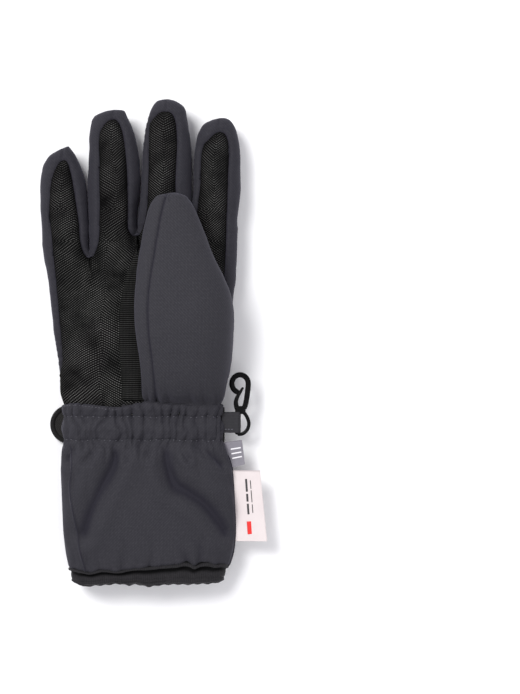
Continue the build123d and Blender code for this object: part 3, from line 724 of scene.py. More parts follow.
def make_hand(materials):
    """The hand's panels, and the panels of each finger's end."""
    cloth = hand_shape()

    def choose(finger, means, middle):
        if means["grip"] > 0:
            part = "grip"
        elif means["back"] > 0:
            part = "side"
        else:
            part = "back"
        if means["finger"] > 0:
            return f"{NAMES[finger]}_tip_{part}_cloth"
        if part == "side":
            return SIDE_STRIPS[int(np.searchsorted(STRIP_BOUNDS_X, middle[0]))] + "_side_strip_cloth"
        return f"palm_{part}_cloth"

    for key, thing in cloth.pieces(choose).items():
        kind = "grip" if "_grip_" in key else "shell"
        if "_tip_" in key:
            name = key.split("_")[0]
            x, y = hinge(name)
            start = (x, ORIGIN[1] + (y - BEND_REACH) * MM, FINGER_Z * MM)
            end = (x, ORIGIN[1] + (y + BEND_REACH) * MM, FINGER_Z * MM)
            body = ("palm", f"{name}_finger", start, end)
            nodes = {
                "grip": (f"{name}_tip_grip_panel",),
                "side": (f"{name}_tip_side_strip", f"{name}_tip_insulation"),
                "back": (f"{name}_tip_back_panel", f"{name}_tip_lining"),
            }[key.split("_")[2]]
        else:
            body = "palm"
            nodes = {
                "palm_grip_cloth": ("palm_grip_panel", "hand_insulation"),
                "palm_back_cloth": ("hand_back_panel",),
            }.get(key, (key.removesuffix("_cloth"),))
        finish_piece(thing, materials[kind], body, nodes)


# ------------------------------------------------------------------ the ribbed web beside the thumb
def make_web(materials):
    """The cross-ribbed strip that runs from the wrist up beside the thumb."""
    rows, columns = 150, 34
    line = curve_through(WEB_EDGE)
    ys = np.linspace(*WEB_YS, rows)
    left = np.interp(ys, line[::-1, 1], line[::-1, 0])
    share = np.linspace(0, 1, columns)
    x = left[:, None] + (WEB_RIGHT - left)[:, None] * share
    y = np.repeat(ys[:, None], columns, axis=1)
    edge = x - left[:, None]
    z = FINGER_Z + palm_height(x, y, 1) + 0.35 + 0.9 * smooth(0, 9, edge)
    z = z - 1.5 * np.exp(-edge / 0.7) - 0.25 * bump(edge - 3.2, 0.6)
    z = z - 3.0 * smooth(76, 84, y) + 0.6 * (1 - smooth(0, 16, y)) - 4.5 * (1 - smooth(-1, 3, y))
    z = z + 0.35 * noise(x / 8, y / 10, 21) + 0.5 * (1 - smooth(0, 16, y)) * np.sin(x * 1.3)
    points = np.stack([x, y, z], 2).reshape(-1, 3)
    weave = np.stack([x, y], 2).reshape(-1, 2) * MM
    thing = mesh_object("thumb_web_ribs", place(points), grid_faces(rows, columns), weave)
    finish_piece(thing, materials["ribs"], "palm", ("thumb_web_patch",))


# ------------------------------------------------------------------ the thumb
def thumb_widest(x, y):
    """Height of the thumb's widest line at a place seen from above."""
    left, right, line_left, line_right = (along(THUMB_STATIONS, y, column) for column in (1, 2, 3, 4))
    return line_left + (line_right - line_left) * smooth(-1, 1, (2 * x - left - right) / (right - left))


def thumb_point(y, theta):
    """The thumb's surface at y: x, z and the widest line's z. theta runs from the right over the top."""
    left, right, low, high = (along(THUMB_STATIONS, y, column) for column in (1, 2, 5, 6))
    cos, sin = np.cos(theta), np.sin(theta)
    x = (left + right) / 2 + (right - left) / 2 * np.sign(cos) * np.abs(cos) ** THUMB_POWER
    widest = thumb_widest(x, y)
    rise = np.where(sin > 0, high - widest, np.maximum(widest - low, 0.4))
    return x, widest + np.sign(sin) * rise * np.abs(sin) ** THUMB_POWER, widest


def make_thumb(materials):
    """The thumb: an outer panel, a side strip towards the palm and an inner panel underneath."""
    rows, columns = 150, 168
    share = np.linspace(0, 1, rows)
    ys = THUMB_STATIONS[0][0] + (THUMB_STATIONS[-1][0] - THUMB_STATIONS[0][0]) * (1 - (1 - share) ** 1.35)
    theta = np.linspace(0, 2 * np.pi, columns, endpoint=False)
    y, t = np.meshgrid(ys, theta, indexing="ij")
    x, z, widest = thumb_point(y, t)
    lower = np.sin(t) < -1e-6
    floor = FINGER_Z + palm_height(x, y, 1) * (1 - 0.5 * smooth(86, 100, y)) + 0.6
    z = np.where(lower & (y > 2), np.maximum(z, np.minimum(floor, widest)), z)
    points = np.stack([x, y, z], 2)
    length = run_across(points)
    top = columns // 4
    weave = np.stack([length[:, top : top + 1] - length + points[:, top : top + 1, 0], y], 2)
    flat = np.vstack([points.reshape(-1, 3), points[-1].mean(axis=0)])
    weave = np.vstack([weave.reshape(-1, 2), [points[-1, :, 0].mean(), ys[-1]]])
    tip = rows * columns
    last = tip - columns
    faces = grid_faces(rows, columns, closed=True)
    faces += [(last + c, last + (c + 1) % columns, tip) for c in range(columns)]
    faces = [f[::-1] for f in faces]
    under = np.append(lower.ravel(), False)
    cloth = Cloth(flat, weave, faces, [0] * len(faces))
    seam_x = along(THUMB_SEAM, flat[:, 1])
    cloth.cut("seam", np.where(under, -4.0, seam_x - flat[:, 0]))
    normals = cloth.normals()
    x, y, z = cloth.points.T
    on_top = z > along(THUMB_STATIONS, y, 3) + 1.5
    sunk = cloth.seam((cloth.values["seam"] == 0) & on_top, *THUMB_SINK)
    swell = unevenness(THUMB_PADDING, x, y)
    gather = pleats(x / 7.5 + 0.6 * noise(x / 13, y / 20, 36))
    swell = swell + 1.3 * (gather - 0.5) * (1 - smooth(0, 17, y)) * smooth(-3, 2, y)
    pucker = np.sin(2 * np.pi * (y / 3.1 + 0.6 * noise(x / 7, y / 9, 35)))
    swell = swell + 0.13 * pucker * np.exp(-((np.abs(cloth.values["seam"]) - 1.2) ** 2) / 1.8)
    swell = swell - 0.9 * bump(x - 14.5, 0.7) * smooth(105, 108, y) * smooth(36, 38, z)
    cloth.points = cloth.points + (swell - sunk)[:, None] * normals

    def choose(_, means, middle):
        if means["seam"] > 0:
            return "thumb_side_cloth"
        outer = middle[2] > thumb_widest(middle[0], middle[1])
        return "thumb_outer_cloth" if outer else "thumb_inner_cloth"

    nodes = {
        "thumb_side_cloth": ("thumb_side_strip",),
        "thumb_outer_cloth": ("thumb_outer_panel", "thumb_insulation"),
        "thumb_inner_cloth": ("thumb_inner_panel", "thumb_lining"),
    }
    body = bend_between("palm", "thumb", *THUMB_TURN)
    for key, thing in cloth.pieces(choose).items():
        finish_piece(thing, materials["shell"], body, nodes[key])


# ------------------------------------------------------------------ wrist band, gauntlet, hem and lining
def tube_row(y, inset=0.0):
    """A row round the gauntlet at y, evenly spaced, from the middle of the back, and its place round."""
    left, right = along(CUFF_STATIONS, y, 1) + inset, along(CUFF_STATIONS, y, 2) - inset
    low, high = along(CUFF_STATIONS, y, 3) + inset, along(CUFF_STATIONS, y, 4) - inset
    t = np.linspace(-np.pi / 2, 1.5 * np.pi, 721)
    cos, sin = np.cos(t), np.sin(t)
    x = (left + right) / 2 + (right - left) / 2 * np.sign(cos) * np.abs(cos) ** (2 / CUFF_POWER)
    z = (low + high) / 2 + (high - low) / 2 * np.sign(sin) * np.abs(sin) ** (2 / CUFF_POWER)
    length = np.concatenate([[0], np.cumsum(np.hypot(np.diff(x), np.diff(z)))])
    at = np.linspace(0, length[-1], AROUND, endpoint=False)
    return np.interp(at, length, x), np.interp(at, length, z), at - length[-1] / 2


def tube(ys_by_column, inset=0.0):
    """Points of a tube whose rows need not be level, and each point's place round it."""
    levels = np.linspace(ys_by_column.min() - 0.01, ys_by_column.max() + 0.01, 160)
    table = [tube_row(level, inset) for level in levels]
    xs, zs, rounds = (np.array([row[k] for row in table]) for k in range(3))
    at = (ys_by_column - levels[0]) / (levels[1] - levels[0])
    k = np.clip(at.astype(int), 0, len(levels) - 2)
    f = at - k
    c = np.arange(AROUND)
    x = xs[k, c] * (1 - f) + xs[k + 1, c] * f
    z = zs[k, c] * (1 - f) + zs[k + 1, c] * f
    s = rounds[k, c] * (1 - f) + rounds[k + 1, c] * f
    return np.stack([x, ys_by_column, z], 2), s


def grid_normals(points):
    """Normals of a grid that is closed round its columns, pointing out of the tube."""
    around = np.roll(points, -1, axis=1) - np.roll(points, 1, axis=1)
    up = np.gradient(points, axis=0)
    normals = np.cross(around, up)
    normals /= np.linalg.norm(normals, axis=2, keepdims=True) + 1e-12
    return normals


def edge_reading(table, x, top, plain):
    """The reading of an edge's table on the side that faces up, and a plain number on the back."""
    return plain + (along(table, x) - plain) * top


def gathers(s, y):
    """How the elastic puckers the cloth at a place round the gauntlet."""
    pitch = 5.1
    phase = s / pitch + 0.75 * cuff_noise(s / 11, y / 15, 41) + 0.35 * cuff_noise(s / 4, y / 8, 42)
    puff = pleats(phase) ** 0.7 - 0.62
    rows = 1 + 0.3 * bump(y - UPPER_ROW, 2.2) + 0.4 * bump(y - LOWER_ROW, 3.0)
    uneven = 0.85 + 0.45 * cuff_noise(s / 9, y / 26, 43)
    fade = smooth(-36, -22, y) * (1 - 0.3 * smooth(-4, 1, y))
    broad = pleats(s / 13.5 + 0.8 * cuff_noise(s / 23, y / 60, 44)) ** 0.9 - 0.62
    broad_fade = smooth(-62, -28, y) * (1 - smooth(-22, -12, y))
    creases = 0.5 * cuff_noise(s / 2.3 + 0.22 * y, y / 5.5, 48) * smooth(-32, -20, y)
    creases = creases + 0.45 * cuff_noise(s / 3.4 - 0.16 * y, y / 8, 55) * smooth(-40, -22, y)
    return 1.45 * puff * rows * uneven * fade + 1.2 * broad * broad_fade + creases


def gauntlet_swell(points, s):
    """The relief of the wrist band and the gauntlet: gathers, folds and slack."""
    x, y, z = points[..., 0], points[..., 1], points[..., 2]
    top = smooth(14.5, 20.5, z)
    flat_side = 0.12 + 0.88 * smooth(2, 9, np.abs(z - 13.5))
    swell = gathers(s, y) * (0.55 + 0.45 * flat_side)
    for row_y in (UPPER_ROW, LOWER_ROW):
        swell = swell - 0.65 * bump(y - stitch_row(row_y, s), 0.75)
    for depth, width, route in FOLDS:
        path = curve_through(route)
        reach = distance_to_line(x, y, path)
        fold = np.exp(-((reach / width) ** 1.25)) - 0.4 * bump(reach - 2.3 * width, 1.2 * width)
        started = 1 - smooth(path[0, 1] - 9, path[0, 1] + 1, y)
        swell = swell - depth * fold * started * top
    slack = 1 - smooth(-45, -30, y)
    swell = swell + slack * unevenness(CUFF_DRAPE, s, y, cuff_noise) * flat_side
    hem_gather = pleats(s / 6.4 + 0.7 * cuff_noise(s / 13, y / 20, 47)) - 0.6
    swell = swell + 0.8 * hem_gather * (1 - smooth(-90, -74, y)) * flat_side
    return np.maximum(swell, -3.6)


def stitch_row(row_y, s):
    """The y of a row of stitches, which wanders a little as the elastic pulls it."""
    return row_y + 0.45 * cuff_noise(s / 7, row_y + 0.3, 49) + 0.3 * cuff_noise(s / 2.6, row_y + 1.3, 50)


def make_gauntlet(materials):
    """Wrist band and gauntlet, each with a palm side and a back side, cut from one gathered tube."""
    rows = 190
    base_x, base_z, _ = tube_row(-10)
    high = edge_reading(WRIST_EDGE, base_x, smooth(9, 15, base_z), 0.0)
    low_x, low_z, _ = tube_row(-90)
    low = edge_reading(HEM_TOP, low_x, smooth(9, 15, low_z), HEM_TOP_BACK) - 0.8
    ys = high + (low - high) * np.linspace(0, 1, rows)[:, None]
    points, s = tube(ys)
    swell = gauntlet_swell(points, s)
    # Painted shade: a little over the whole wrist band and gauntlet, and more in the valleys of the folds
    # and gathers.
    shade = 0.15 + 0.85 * smooth(0.3, 3.2, -swell)
    rolled = 1.3 * np.exp(-((ys - high) ** 2) / 0.7) + 1.2 * np.exp(-((ys - low) ** 2) / 1.2)
    points = points + (swell - rolled)[..., None] * grid_normals(points)
    tuck = []
    for depth, back in WRIST_TUCK:
        row = points[0] - depth * grid_normals(points)[0]
        row[:, 1] = points[0, :, 1] - back
        tuck.append(row)
    points = np.concatenate([np.array(tuck[::-1]), points])
    s = np.concatenate([s[: len(tuck)], s])
    # Painted shade: full on the rows turned under at the upper edge.
    shade = np.concatenate([np.ones((len(tuck), AROUND)), shade])
    points[..., 2] = press_on_ground(points[..., 2])
    weave = np.stack([s, points[..., 1]], 2).reshape(-1, 2)
    faces = [f[::-1] for f in grid_faces(len(points), AROUND, closed=True)]
    cloth = Cloth(points.reshape(-1, 3), weave, faces, [0] * len(faces))
    cloth.shade = shade.ravel()
    x, y, z = cloth.points.T
    palm_side = np.where(z > SEAM_ABOVE, x - along(SIDE_SEAM, y), -3.0)
    cloth.cut("side", np.where(x > 0, z - LABEL_Z, palm_side))
    cloth.cut("band", cloth.points[:, 1] + WRIST_BAND_LENGTH)
    normals = cloth.normals()
    seam = (cloth.values["side"] == 0) & (cloth.points[:, 1] < -22)
    cloth.points = cloth.points - cloth.seam(seam, *CUFF_SINK)[:, None] * normals
    cloth.points[:, 2] = press_on_ground(cloth.points[:, 2])

    def choose(_, means, middle):
        side = "palm" if means["side"] > 0 else "back"
        return f"wrist_{side}_side_cloth" if means["band"] > 0 else f"gauntlet_{side}_side_cloth"

    nodes = {
        "wrist_palm_side_cloth": ("wrist_band_palm_side", "wrist_elastic"),
        "wrist_back_side_cloth": ("wrist_band_back_side",),
        "gauntlet_palm_side_cloth": ("cuff_palm_side",),
        "gauntlet_back_side_cloth": ("cuff_back_side",),
    }
    bend = bend_between("gauntlet", "palm", *WRIST_BEND)
    for key, thing in cloth.pieces(choose).items():
        body = bend if key.startswith("wrist") else "gauntlet"
        finish_piece(thing, materials["shell"], body, nodes[key])
    return points, s, bend


def make_hem(materials):
    """The black hem: a piped edge under the gauntlet's cloth and a soft lip folded to the inside."""
    low_x, low_z, _ = tube_row(-92)
    top = smooth(9, 15, low_z)
    high = edge_reading(HEM_TOP, low_x, top, HEM_TOP_BACK) + 0.6
    foot = edge_reading(HEM_FOOT, low_x, top, HEM_FOOT_BACK)
    share = np.linspace(0, 1, 48)[:, None]
    points, s = tube(high + (foot - high) * share)
    x, y = points[..., 0], points[..., 1]
    lift = along(HEM_PROFILE, share) * (0.6 + 0.4 * smooth(2, 8, np.abs(points[..., 2] - 13.0)))
    folded = smooth(-24, -14, x) * (1 - smooth(8, 20, x)) * top
    lift = lift + 1.2 * folded * bump(share - 0.76, 0.035)
    ruffle = unevenness(HEM_RUFFLE, s, y, cuff_noise)
    creases = unevenness(HEM_CREASES, s, y, cuff_noise) * (share > 0.2)
    points = points + (lift + (ruffle + creases) * (0.3 + 0.7 * share))[..., None] * grid_normals(points)
    # Painted shade in the hollows of the hem's upper half, none on the rows turned inside.
    shade = smooth(0.3, 1.2, -lift) * (share < 0.5)
    inner = []
    for depth, back in HEM_TUCK:
        ys = (foot + back)[None] + 0.25 * np.sin(s[-1] * 1.1)[None]
        row, _ = tube(ys, depth)
        inner.append(row[0])
    points = np.concatenate([points, np.array(inner)])
    s = np.concatenate([s, np.repeat(s[-1:], len(inner), axis=0)])
    shade = np.concatenate([shade, np.zeros((len(inner), AROUND))])
    points[..., 2] = press_on_ground(points[..., 2])
    along_cloth = np.cumsum(np.r_[0, np.linalg.norm(np.diff(points[:, 0], axis=0), axis=1)])
    weave = np.stack([s, np.repeat(along_cloth[:, None], AROUND, axis=1), shade], 2).reshape(-1, 3) * MM
    faces = [f[::-1] for f in grid_faces(len(points), AROUND, closed=True)]
    thing = mesh_object("hem_fold", place(points.reshape(-1, 3)), faces, weave)
    finish_piece(thing, materials["hem"], "gauntlet", ("hem_binding", "hem_elastic"))


def make_lining(materials, bend):
    """The fleece inside: one tube through the gauntlet and the wrist, and a pocket in the hand."""
    for name, start, stop, rows, body, nodes in (
        ("gauntlet_fleece", -93.0, -1.0, 70, bend, ("cuff_lining", "wrist_lining")),
        ("hand_fleece", -1.5, 84.0, 60, "palm", ("hand_lining",)),
    ):
        y = np.repeat(np.linspace(start, stop, rows)[:, None], AROUND, axis=1)
        points, s = tube(np.minimum(y, LINING_MOUTH_Y), LINING_INSET)
        closing = np.sqrt(np.clip(1 - smooth(40, 85, y), 0, 1)) if stop > 0 else np.ones(y.shape)
        points[..., 1] = y
        points[..., 0] = LINING_X + (points[..., 0] - LINING_X) * closing
        points[..., 2] = LINING_Z + (points[..., 2] - LINING_Z) * closing * (1 - 0.3 * (1 - closing))
        fluff = unevenness(FLEECE_NAP, s, y, cuff_noise)
        points = points - (1.3 * smooth(-40, -22, y) - fluff)[..., None] * grid_normals(points)
        weave = np.stack([s, y], 2).reshape(-1, 2) * MM
        faces = grid_faces(rows, AROUND, closed=True)
        thing = mesh_object(name, place(points.reshape(-1, 3)), faces, weave)
        finish_piece(thing, materials["fleece"], body, nodes)


# ------------------------------------------------------------------ bands, straps and small hard pieces
def sweep(name, path, across, half_widths, half_thickness, square=0.45, sides=20):
    """A bar or band with a rounded section swept along a path. across is a fixed direction, or None for a
    band that lies flat and bends in plan."""
    path = np.array(path, float)
    count = len(path)
    half_widths = np.broadcast_to(np.array(half_widths, float), (count,))
    tangent = np.gradient(path, axis=0)
    tangent /= np.linalg.norm(tangent, axis=1, keepdims=True)
    if across is None:
        side = np.cross((0.0, 0.0, 1.0), tangent)
    else:
        side = np.repeat(np.array([across], float), count, axis=0)
    side /= np.linalg.norm(side, axis=1, keepdims=True)
    up = np.cross(tangent, side)
    t = np.linspace(0, 2 * np.pi, sides, endpoint=False)
    a = np.sign(np.cos(t)) * np.abs(np.cos(t)) ** square
    b = np.sign(np.sin(t)) * np.abs(np.sin(t)) ** square
    run = np.r_[0, np.cumsum(np.linalg.norm(np.diff(path, axis=0), axis=1))]
    rings, places = [], []

    def ring(k, shrink, shift):
        width = max(half_widths[k] - half_thickness * (1 - shrink), half_widths[k] * 0.05)
        height = half_thickness * shrink
        centre = path[k] + tangent[k] * shift
        rings.append(centre + side[k] * (a * width)[:, None] + up[k] * (b * height)[:, None])
        places.append(np.stack([a * width, np.full(sides, run[k] + shift)], 1))

    caps = [(math.cos(f), (1 - math.sin(f)) * half_thickness * 0.6) for f in (1.35, 1.0, 0.6, 0.25)]
    for shrink, back in caps:
        ring(0, shrink, back)
    for k in range(1, count - 1):
        ring(k, 1.0, 0.0)
    for shrink, back in caps[::-1]:
        ring(count - 1, shrink, -back)
    faces = [f[::-1] for f in grid_faces(len(rings), sides, closed=True)]
    last = (len(rings) - 1) * sides
    faces += [tuple(range(sides)), tuple(last + c for c in range(sides))[::-1]]
    return mesh_object(name, place(np.concatenate(rings)), faces, np.concatenate(places) * MM)


def arc(centre, radius, start, stop, z, count):
    """Points of a level arc, angles in degrees."""
    t = np.radians(np.linspace(start, stop, count))
    x, y = centre[0] + radius[0] * np.cos(t), centre[1] + radius[1] * np.sin(t)
    return np.stack([x, y, np.full(count, z)], 1)


def joined(name, things):
    """One object from several."""
    points, faces, weave = [], [], []
    for thing in things:
        mesh = thing.data
        first = len(points)
        points += [tuple(v.co) for v in mesh.vertices]
        faces += [[first + i for i in f.vertices] for f in mesh.polygons]
        weave += [tuple(d.vector[:2]) for d in mesh.attributes["weave"].data]
        bpy.data.objects.remove(thing)
        bpy.data.meshes.remove(mesh)
    return mesh_object(name, points, faces, weave)


def make_strap(materials):
    """The strap under the wrist: one length of webbing from its sewn end, through the line where it peels,
    to its bound round end, with the hook and loop patches."""
    turn = STRAP_END_X + STRAP_HALF
    half = STRAP_HALF - STRAP_EDGE
    t = np.linspace(0.06, 1, 22)
    rounded = STRAP_END_X + STRAP_EDGE + half * (1 - np.sqrt(1 - t**2))
    free = np.r_[rounded, np.linspace(turn + 1, STRAP_HINGE_X, 44)]
    reach = np.clip((turn - free) / half, 0, 1)
    sewn = curve_through(SEWN_END)
    path = [(x, STRAP_Y, STRAP_Z) for x in free] + [(x, STRAP_Y, z) for x, z in sewn]
    widths = np.r_[half * np.sqrt(1 - reach**2), np.full(len(sewn), half)]
    webbing = sweep("strap_band", path, (0, 1, 0), np.maximum(widths, 0.6), 0.6, 0.3, 28)
    peel = bend_between("gauntlet", "strap", *((x, STRAP_Y, STRAP_Z) for x in STRAP_PEEL))
    finish_piece(webbing, materials["webbing"], peel, ("strap_webbing", "strap_anchor"))
    radius = STRAP_HALF - BINDING_INSET
    z = STRAP_Z + 0.1
    along_edge = np.linspace(turn + 9, turn + 0.5, 8)
    edge = np.concatenate(
        [
            [(x, STRAP_Y + radius, z) for x in along_edge],
            arc((turn, STRAP_Y), (radius, radius), 90, 270, z, 40),
            [(x, STRAP_Y - radius, z) for x in along_edge[::-1]],
        ]
    )
    binding = sweep("strap_end_edge", edge, None, 1.35, 1.15, 0.7, 18)
    finish_piece(binding, materials["binding"], "strap", ("strap_end_binding",))
    for name, kind, body, node, patch in (
        ("strap_hooks", "hooks", "strap", "strap_hook_patch", HOOK_PATCH),
        ("strap_loops", "loops", "gauntlet", "strap_loop_patch", LOOP_PATCH),
    ):
        first, last, z, thick, square, count = patch
        path = [(x, STRAP_Y, z) for x in np.linspace(first, last, count)]
        thing = sweep(name, path, (0, 1, 0), PATCH_HALF, thick, square, 28)
        finish_piece(thing, materials[kind], body, (node,))


def make_tab(materials):
    """The folded tab that holds the clip: two plies of webbing round the clip's bar."""
    xs = np.linspace(*TAB_ENDS, 12)
    gap = TAB_PLY - 0.35 * smooth(47, 42, xs)
    upper = [(x, TAB_Y, CLIP_Z + g) for x, g in zip(xs, gap)]
    t = np.linspace(1.4, -1.4, 12)
    turn = [(x, TAB_Y, z) for x, z in zip(BAR_X + TAB_PLY * np.cos(t), CLIP_Z + TAB_PLY * np.sin(t))]
    under = [(x, TAB_Y, CLIP_Z - g) for x, g in zip(xs[::-1], gap[::-1])]
    tab = sweep("clip_tab_fold", upper + turn + under, (0, 1, 0), TAB_HALF, 0.5, 0.3, 28)
    finish_piece(tab, materials["tab"], "gauntlet", ("clip_tab",))
    stitches = []
    for x in TAB_STITCHES:
        arch_of_thread = ((-0.55, 2.12), (0, 2.2), (0.55, 2.12))
        path = [(x + step, TAB_STITCH_Y, CLIP_Z + rise) for step, rise in arch_of_thread]
        stitches.append(sweep("tab_stitches", path, (0, 1, 0), 0.2, 0.14, 0.9, 8))
    finish_piece(joined("tab_stitches", stitches), materials["thread"], "gauntlet")


def clip_route(points):
    """A smooth level route through points of the clip, seen from above."""
    return curve_through([(x, y, CLIP_Z) for x, y in points], steps=6)


def make_clip(materials):
    """The plastic clip: hook, spine, neck and eye in one moulding, and its springy gate."""
    x, y, across, length = CLIP_HOOK
    ring = arc((x, y), (across, length), 261, -6, CLIP_Z, 44)
    route = np.vstack([ring, clip_route(CLIP_SPINE)[1:]])
    parts = [sweep("clip_hook", route, None, 1.46, 1.3, 0.6, 20)]
    for offset in (-1.05, 1.05):
        path = route[16:-3]
        side = np.cross((0, 0, 1), np.gradient(path, axis=0))
        side /= np.linalg.norm(side, axis=1, keepdims=True)
        parts.append(sweep("clip_ridge", path + side * offset + (0, 0, 1.12), None, 0.32, 0.38, 0.9, 10))
    neck = [(NECK_X, y, CLIP_Z) for y in np.linspace(*NECK_YS, 12)]
    parts.append(sweep("clip_neck", neck, (1, 0, 0), 2.85, 1.3, 0.45, 24))
    parts.append(sweep("clip_eye", clip_route(CLIP_EYE), None, 0.98, 1.15, 0.7, 18))
    bar = [(BAR_X, y, CLIP_Z) for y in np.linspace(*BAR_YS, 14)]
    parts.append(sweep("clip_bar", bar, (1, 0, 0), 1.0, 1.0, 1.0, 16))
    body = joined("clip_moulding", parts)
    finish_piece(body, materials["plastic"], "clip", ("clip_frame",))
    route = clip_route(CLIP_GATE)
    share = np.linspace(0, 1, len(route))
    gate = sweep("clip_spring_gate", route, None, 1.35 - 0.75 * share**1.6, 1.0, 0.65, 18)
    finish_piece(gate, materials["plastic"], "gate", ("clip_gate",))


def label_sheet(name, corners, curl):
    """A folded label from its four corners, and the function that finds a place on its upper side."""
    rows, columns = 40, 26
    a, b, c, d = (np.array(p, float) for p in corners)

    def middle(u, v):
        across, down = u[..., None], v[..., None]
        plan = (a + (b - a) * across) * (1 - down) + (d + (c - d) * across) * down
        height = LABEL_Z + curl * u**2 * (0.4 + 0.6 * v) + 0.22 * np.sin(5 * v + 2 * u)
        return np.concatenate([plan, height[..., None]], axis=-1)

    def upper_side(u, v):
        puff = LABEL_THICKNESS * (0.75 - 0.5 * np.abs(2 * u - 1) ** 6)
        return middle(u, v) + puff[..., None] * np.array([0.0, 0.0, 1.0])

    u, v = np.meshgrid(np.linspace(0, 1, columns), np.linspace(0, 1, rows))
    lower = middle(u, v) - (0.0, 0.0, LABEL_THICKNESS / 2)
    points = np.concatenate([upper_side(u, v).reshape(-1, 3), lower.reshape(-1, 3)])
    count = rows * columns
    faces = [f[::-1] for f in grid_faces(rows, columns)]
    faces += [tuple(i + count for i in f[::-1]) for f in faces]
    rim = [(r, 0) for r in range(rows)] + [(rows - 1, c) for c in range(1, columns)]
    rim += [(r, columns - 1) for r in range(rows - 2, -1, -1)] + [(0, c) for c in range(columns - 2, 0, -1)]
    ids = [r * columns + c for r, c in rim]
    for i, j in zip(ids, ids[1:] + ids[:1]):
        faces.append((i, j, j + count, i + count))
    lengths = np.array([np.linalg.norm(b - a), np.linalg.norm(d - a)])
    weave = np.tile(np.stack([u, v], 2).reshape(-1, 2), (2, 1)) * lengths * MM
    return mesh_object(name, place(points), faces, weave), upper_side


def strip_on(name, at, start, stop, half):
    """A narrow embroidered line on a label, from one place on it to another."""
    share = np.linspace(0, 1, 12)
    path = at(start[0] + (stop[0] - start[0]) * share, start[1] + (stop[1] - start[1]) * share)
    return sweep(name, path + (0, 0, 0.08), None, half, 0.1, 0.7, 10)


def make_labels(materials):
    """A small woven label with three plain stripes, and a large one with plain bars."""
    small, at = label_sheet("side_label_ribbon", SIDE_LABEL, 1.6)
    fold = bend_between("gauntlet", "small_tag", *((x, -27.0, LABEL_Z) for x in SIDE_FOLD))
    finish_piece(small, materials["grey_label"], fold, ("side_label",))
    first, last = STRIPE_ENDS
    stripes = [strip_on("stripe", at, (first, v), (last, v), 0.36) for v in STRIPES]
    finish_piece(joined("side_label_stripes", stripes), materials["white_thread"], fold)
    large, at = label_sheet("info_label_ribbon", INFO_LABEL, 2.2)
    fold = bend_between("gauntlet", "large_tag", *((x, -55.0, LABEL_Z) for x in INFO_FOLD))
    finish_piece(large, materials["white_label"], fold, ("info_label",))
    bars = [strip_on("bar", at, (u, a), (u, b), half) for u, half, spans in BAR_ROWS for a, b in spans]
    finish_piece(joined("info_label_dark_bars", bars), materials["dark_thread"], "large_tag")
    red = strip_on("info_label_red_bar", at, *RED_BAR)
    finish_piece(red, materials["red_thread"], "large_tag")


# ------------------------------------------------------------------ stitches
def stitch(points, normals, across, length, thick):
    """Many short stitches as one mesh: small capsules that lie along a direction on the surface."""
    ring = np.linspace(0, 2 * np.pi, 6, endpoint=False)
    verts, faces = [], []
    for p, n, a in zip(points, normals, across):
        side = np.cross(n, a)
        first = len(verts)
        for f, r in ((-1, 0.25), (-0.75, 0.8), (0, 1), (0.75, 0.8), (1, 0.25)):
            centre = p + a * f * length / 2 + n * thick * (0.9 - 0.9 * abs(f) ** 2)
            verts += [centre + (side * math.cos(t) + n * math.sin(t)) * thick * r for t in ring]
        faces += [f[::-1] for f in grid_faces(5, 6, closed=True, first=first)]
        faces += [list(range(first, first + 6)), list(range(first + 24, first + 30))[::-1]]
    return verts, faces


def make_wrist_stitches(materials, points, rounds, bend):
    """The rows of stitches that hold the elastic, and the row along the wrist band's upper edge."""
    normals = grid_normals(points)
    tuck = len(WRIST_TUCK)
    top_row = tuck + 3  # the row that the upper edge's stitches lie on
    spots, sides = [], []
    for row_y in (UPPER_ROW, LOWER_ROW):
        for c in range(3, AROUND, 7):
            wanted = stitch_row(row_y, rounds[tuck, c])
            r = tuck + int(np.argmin(np.abs(points[tuck:, c, 1] - wanted)))
            a = points[r, (c + 1) % AROUND] - points[r, c - 1]
            spots.append((r, c))
            sides.append(a / np.linalg.norm(a))
    for c in range(0, AROUND, 4):
        if points[top_row, c, 0] < -14 and points[top_row, c, 2] > 15:
            spots.append((top_row, c))
            sides.append(np.array([1.0, 0.0, 0.0]))
    rows, columns = np.array(spots).T
    verts, faces = stitch(points[rows, columns], normals[rows, columns], np.array(sides), 0.8, 0.16)
    thing = mesh_object("wrist_stitches", place(verts), faces, np.array(verts)[:, :2] * MM)
    finish_piece(thing, materials["thread"], bend)


# ------------------------------------------------------------------ materials
class Field:
    """A number at each point of a surface, worked out by shader nodes."""

    def __init__(self, tree, socket):
        self.tree = tree
        self.socket = socket

    def step(self, operation, other=None, clamp=False):
        """This field put through a math node, with another field or a number as its second input."""
        node = self.tree.nodes.new("ShaderNodeMath")
        node.operation = operation
        node.use_clamp = clamp
        self.tree.links.new(self.socket, node.inputs[0])
        if isinstance(other, Field):
            self.tree.links.new(other.socket, node.inputs[1])
        elif other is not None:
            node.inputs[1].default_value = other
        return Field(self.tree, node.outputs[0])

    def __add__(self, other):
        return self.step("ADD", other)

    def __sub__(self, other):
        return self.step("SUBTRACT", other)

    def __mul__(self, other):
        return self.step("MULTIPLY", other)

    def wave(self, pitch):
        """0 to 1 and back once in each pitch."""
        return (self * (2 * math.pi / pitch)).step("SINE") * 0.5 + 0.5

    def zigzag(self, period):
        """Up and down at a slope of one, turning twice in each period."""
        return self.step("PINGPONG", period / 2)

    def clamped(self):
        """Kept between 0 and 1."""
        return self.step("ADD", 0.0, clamp=True)


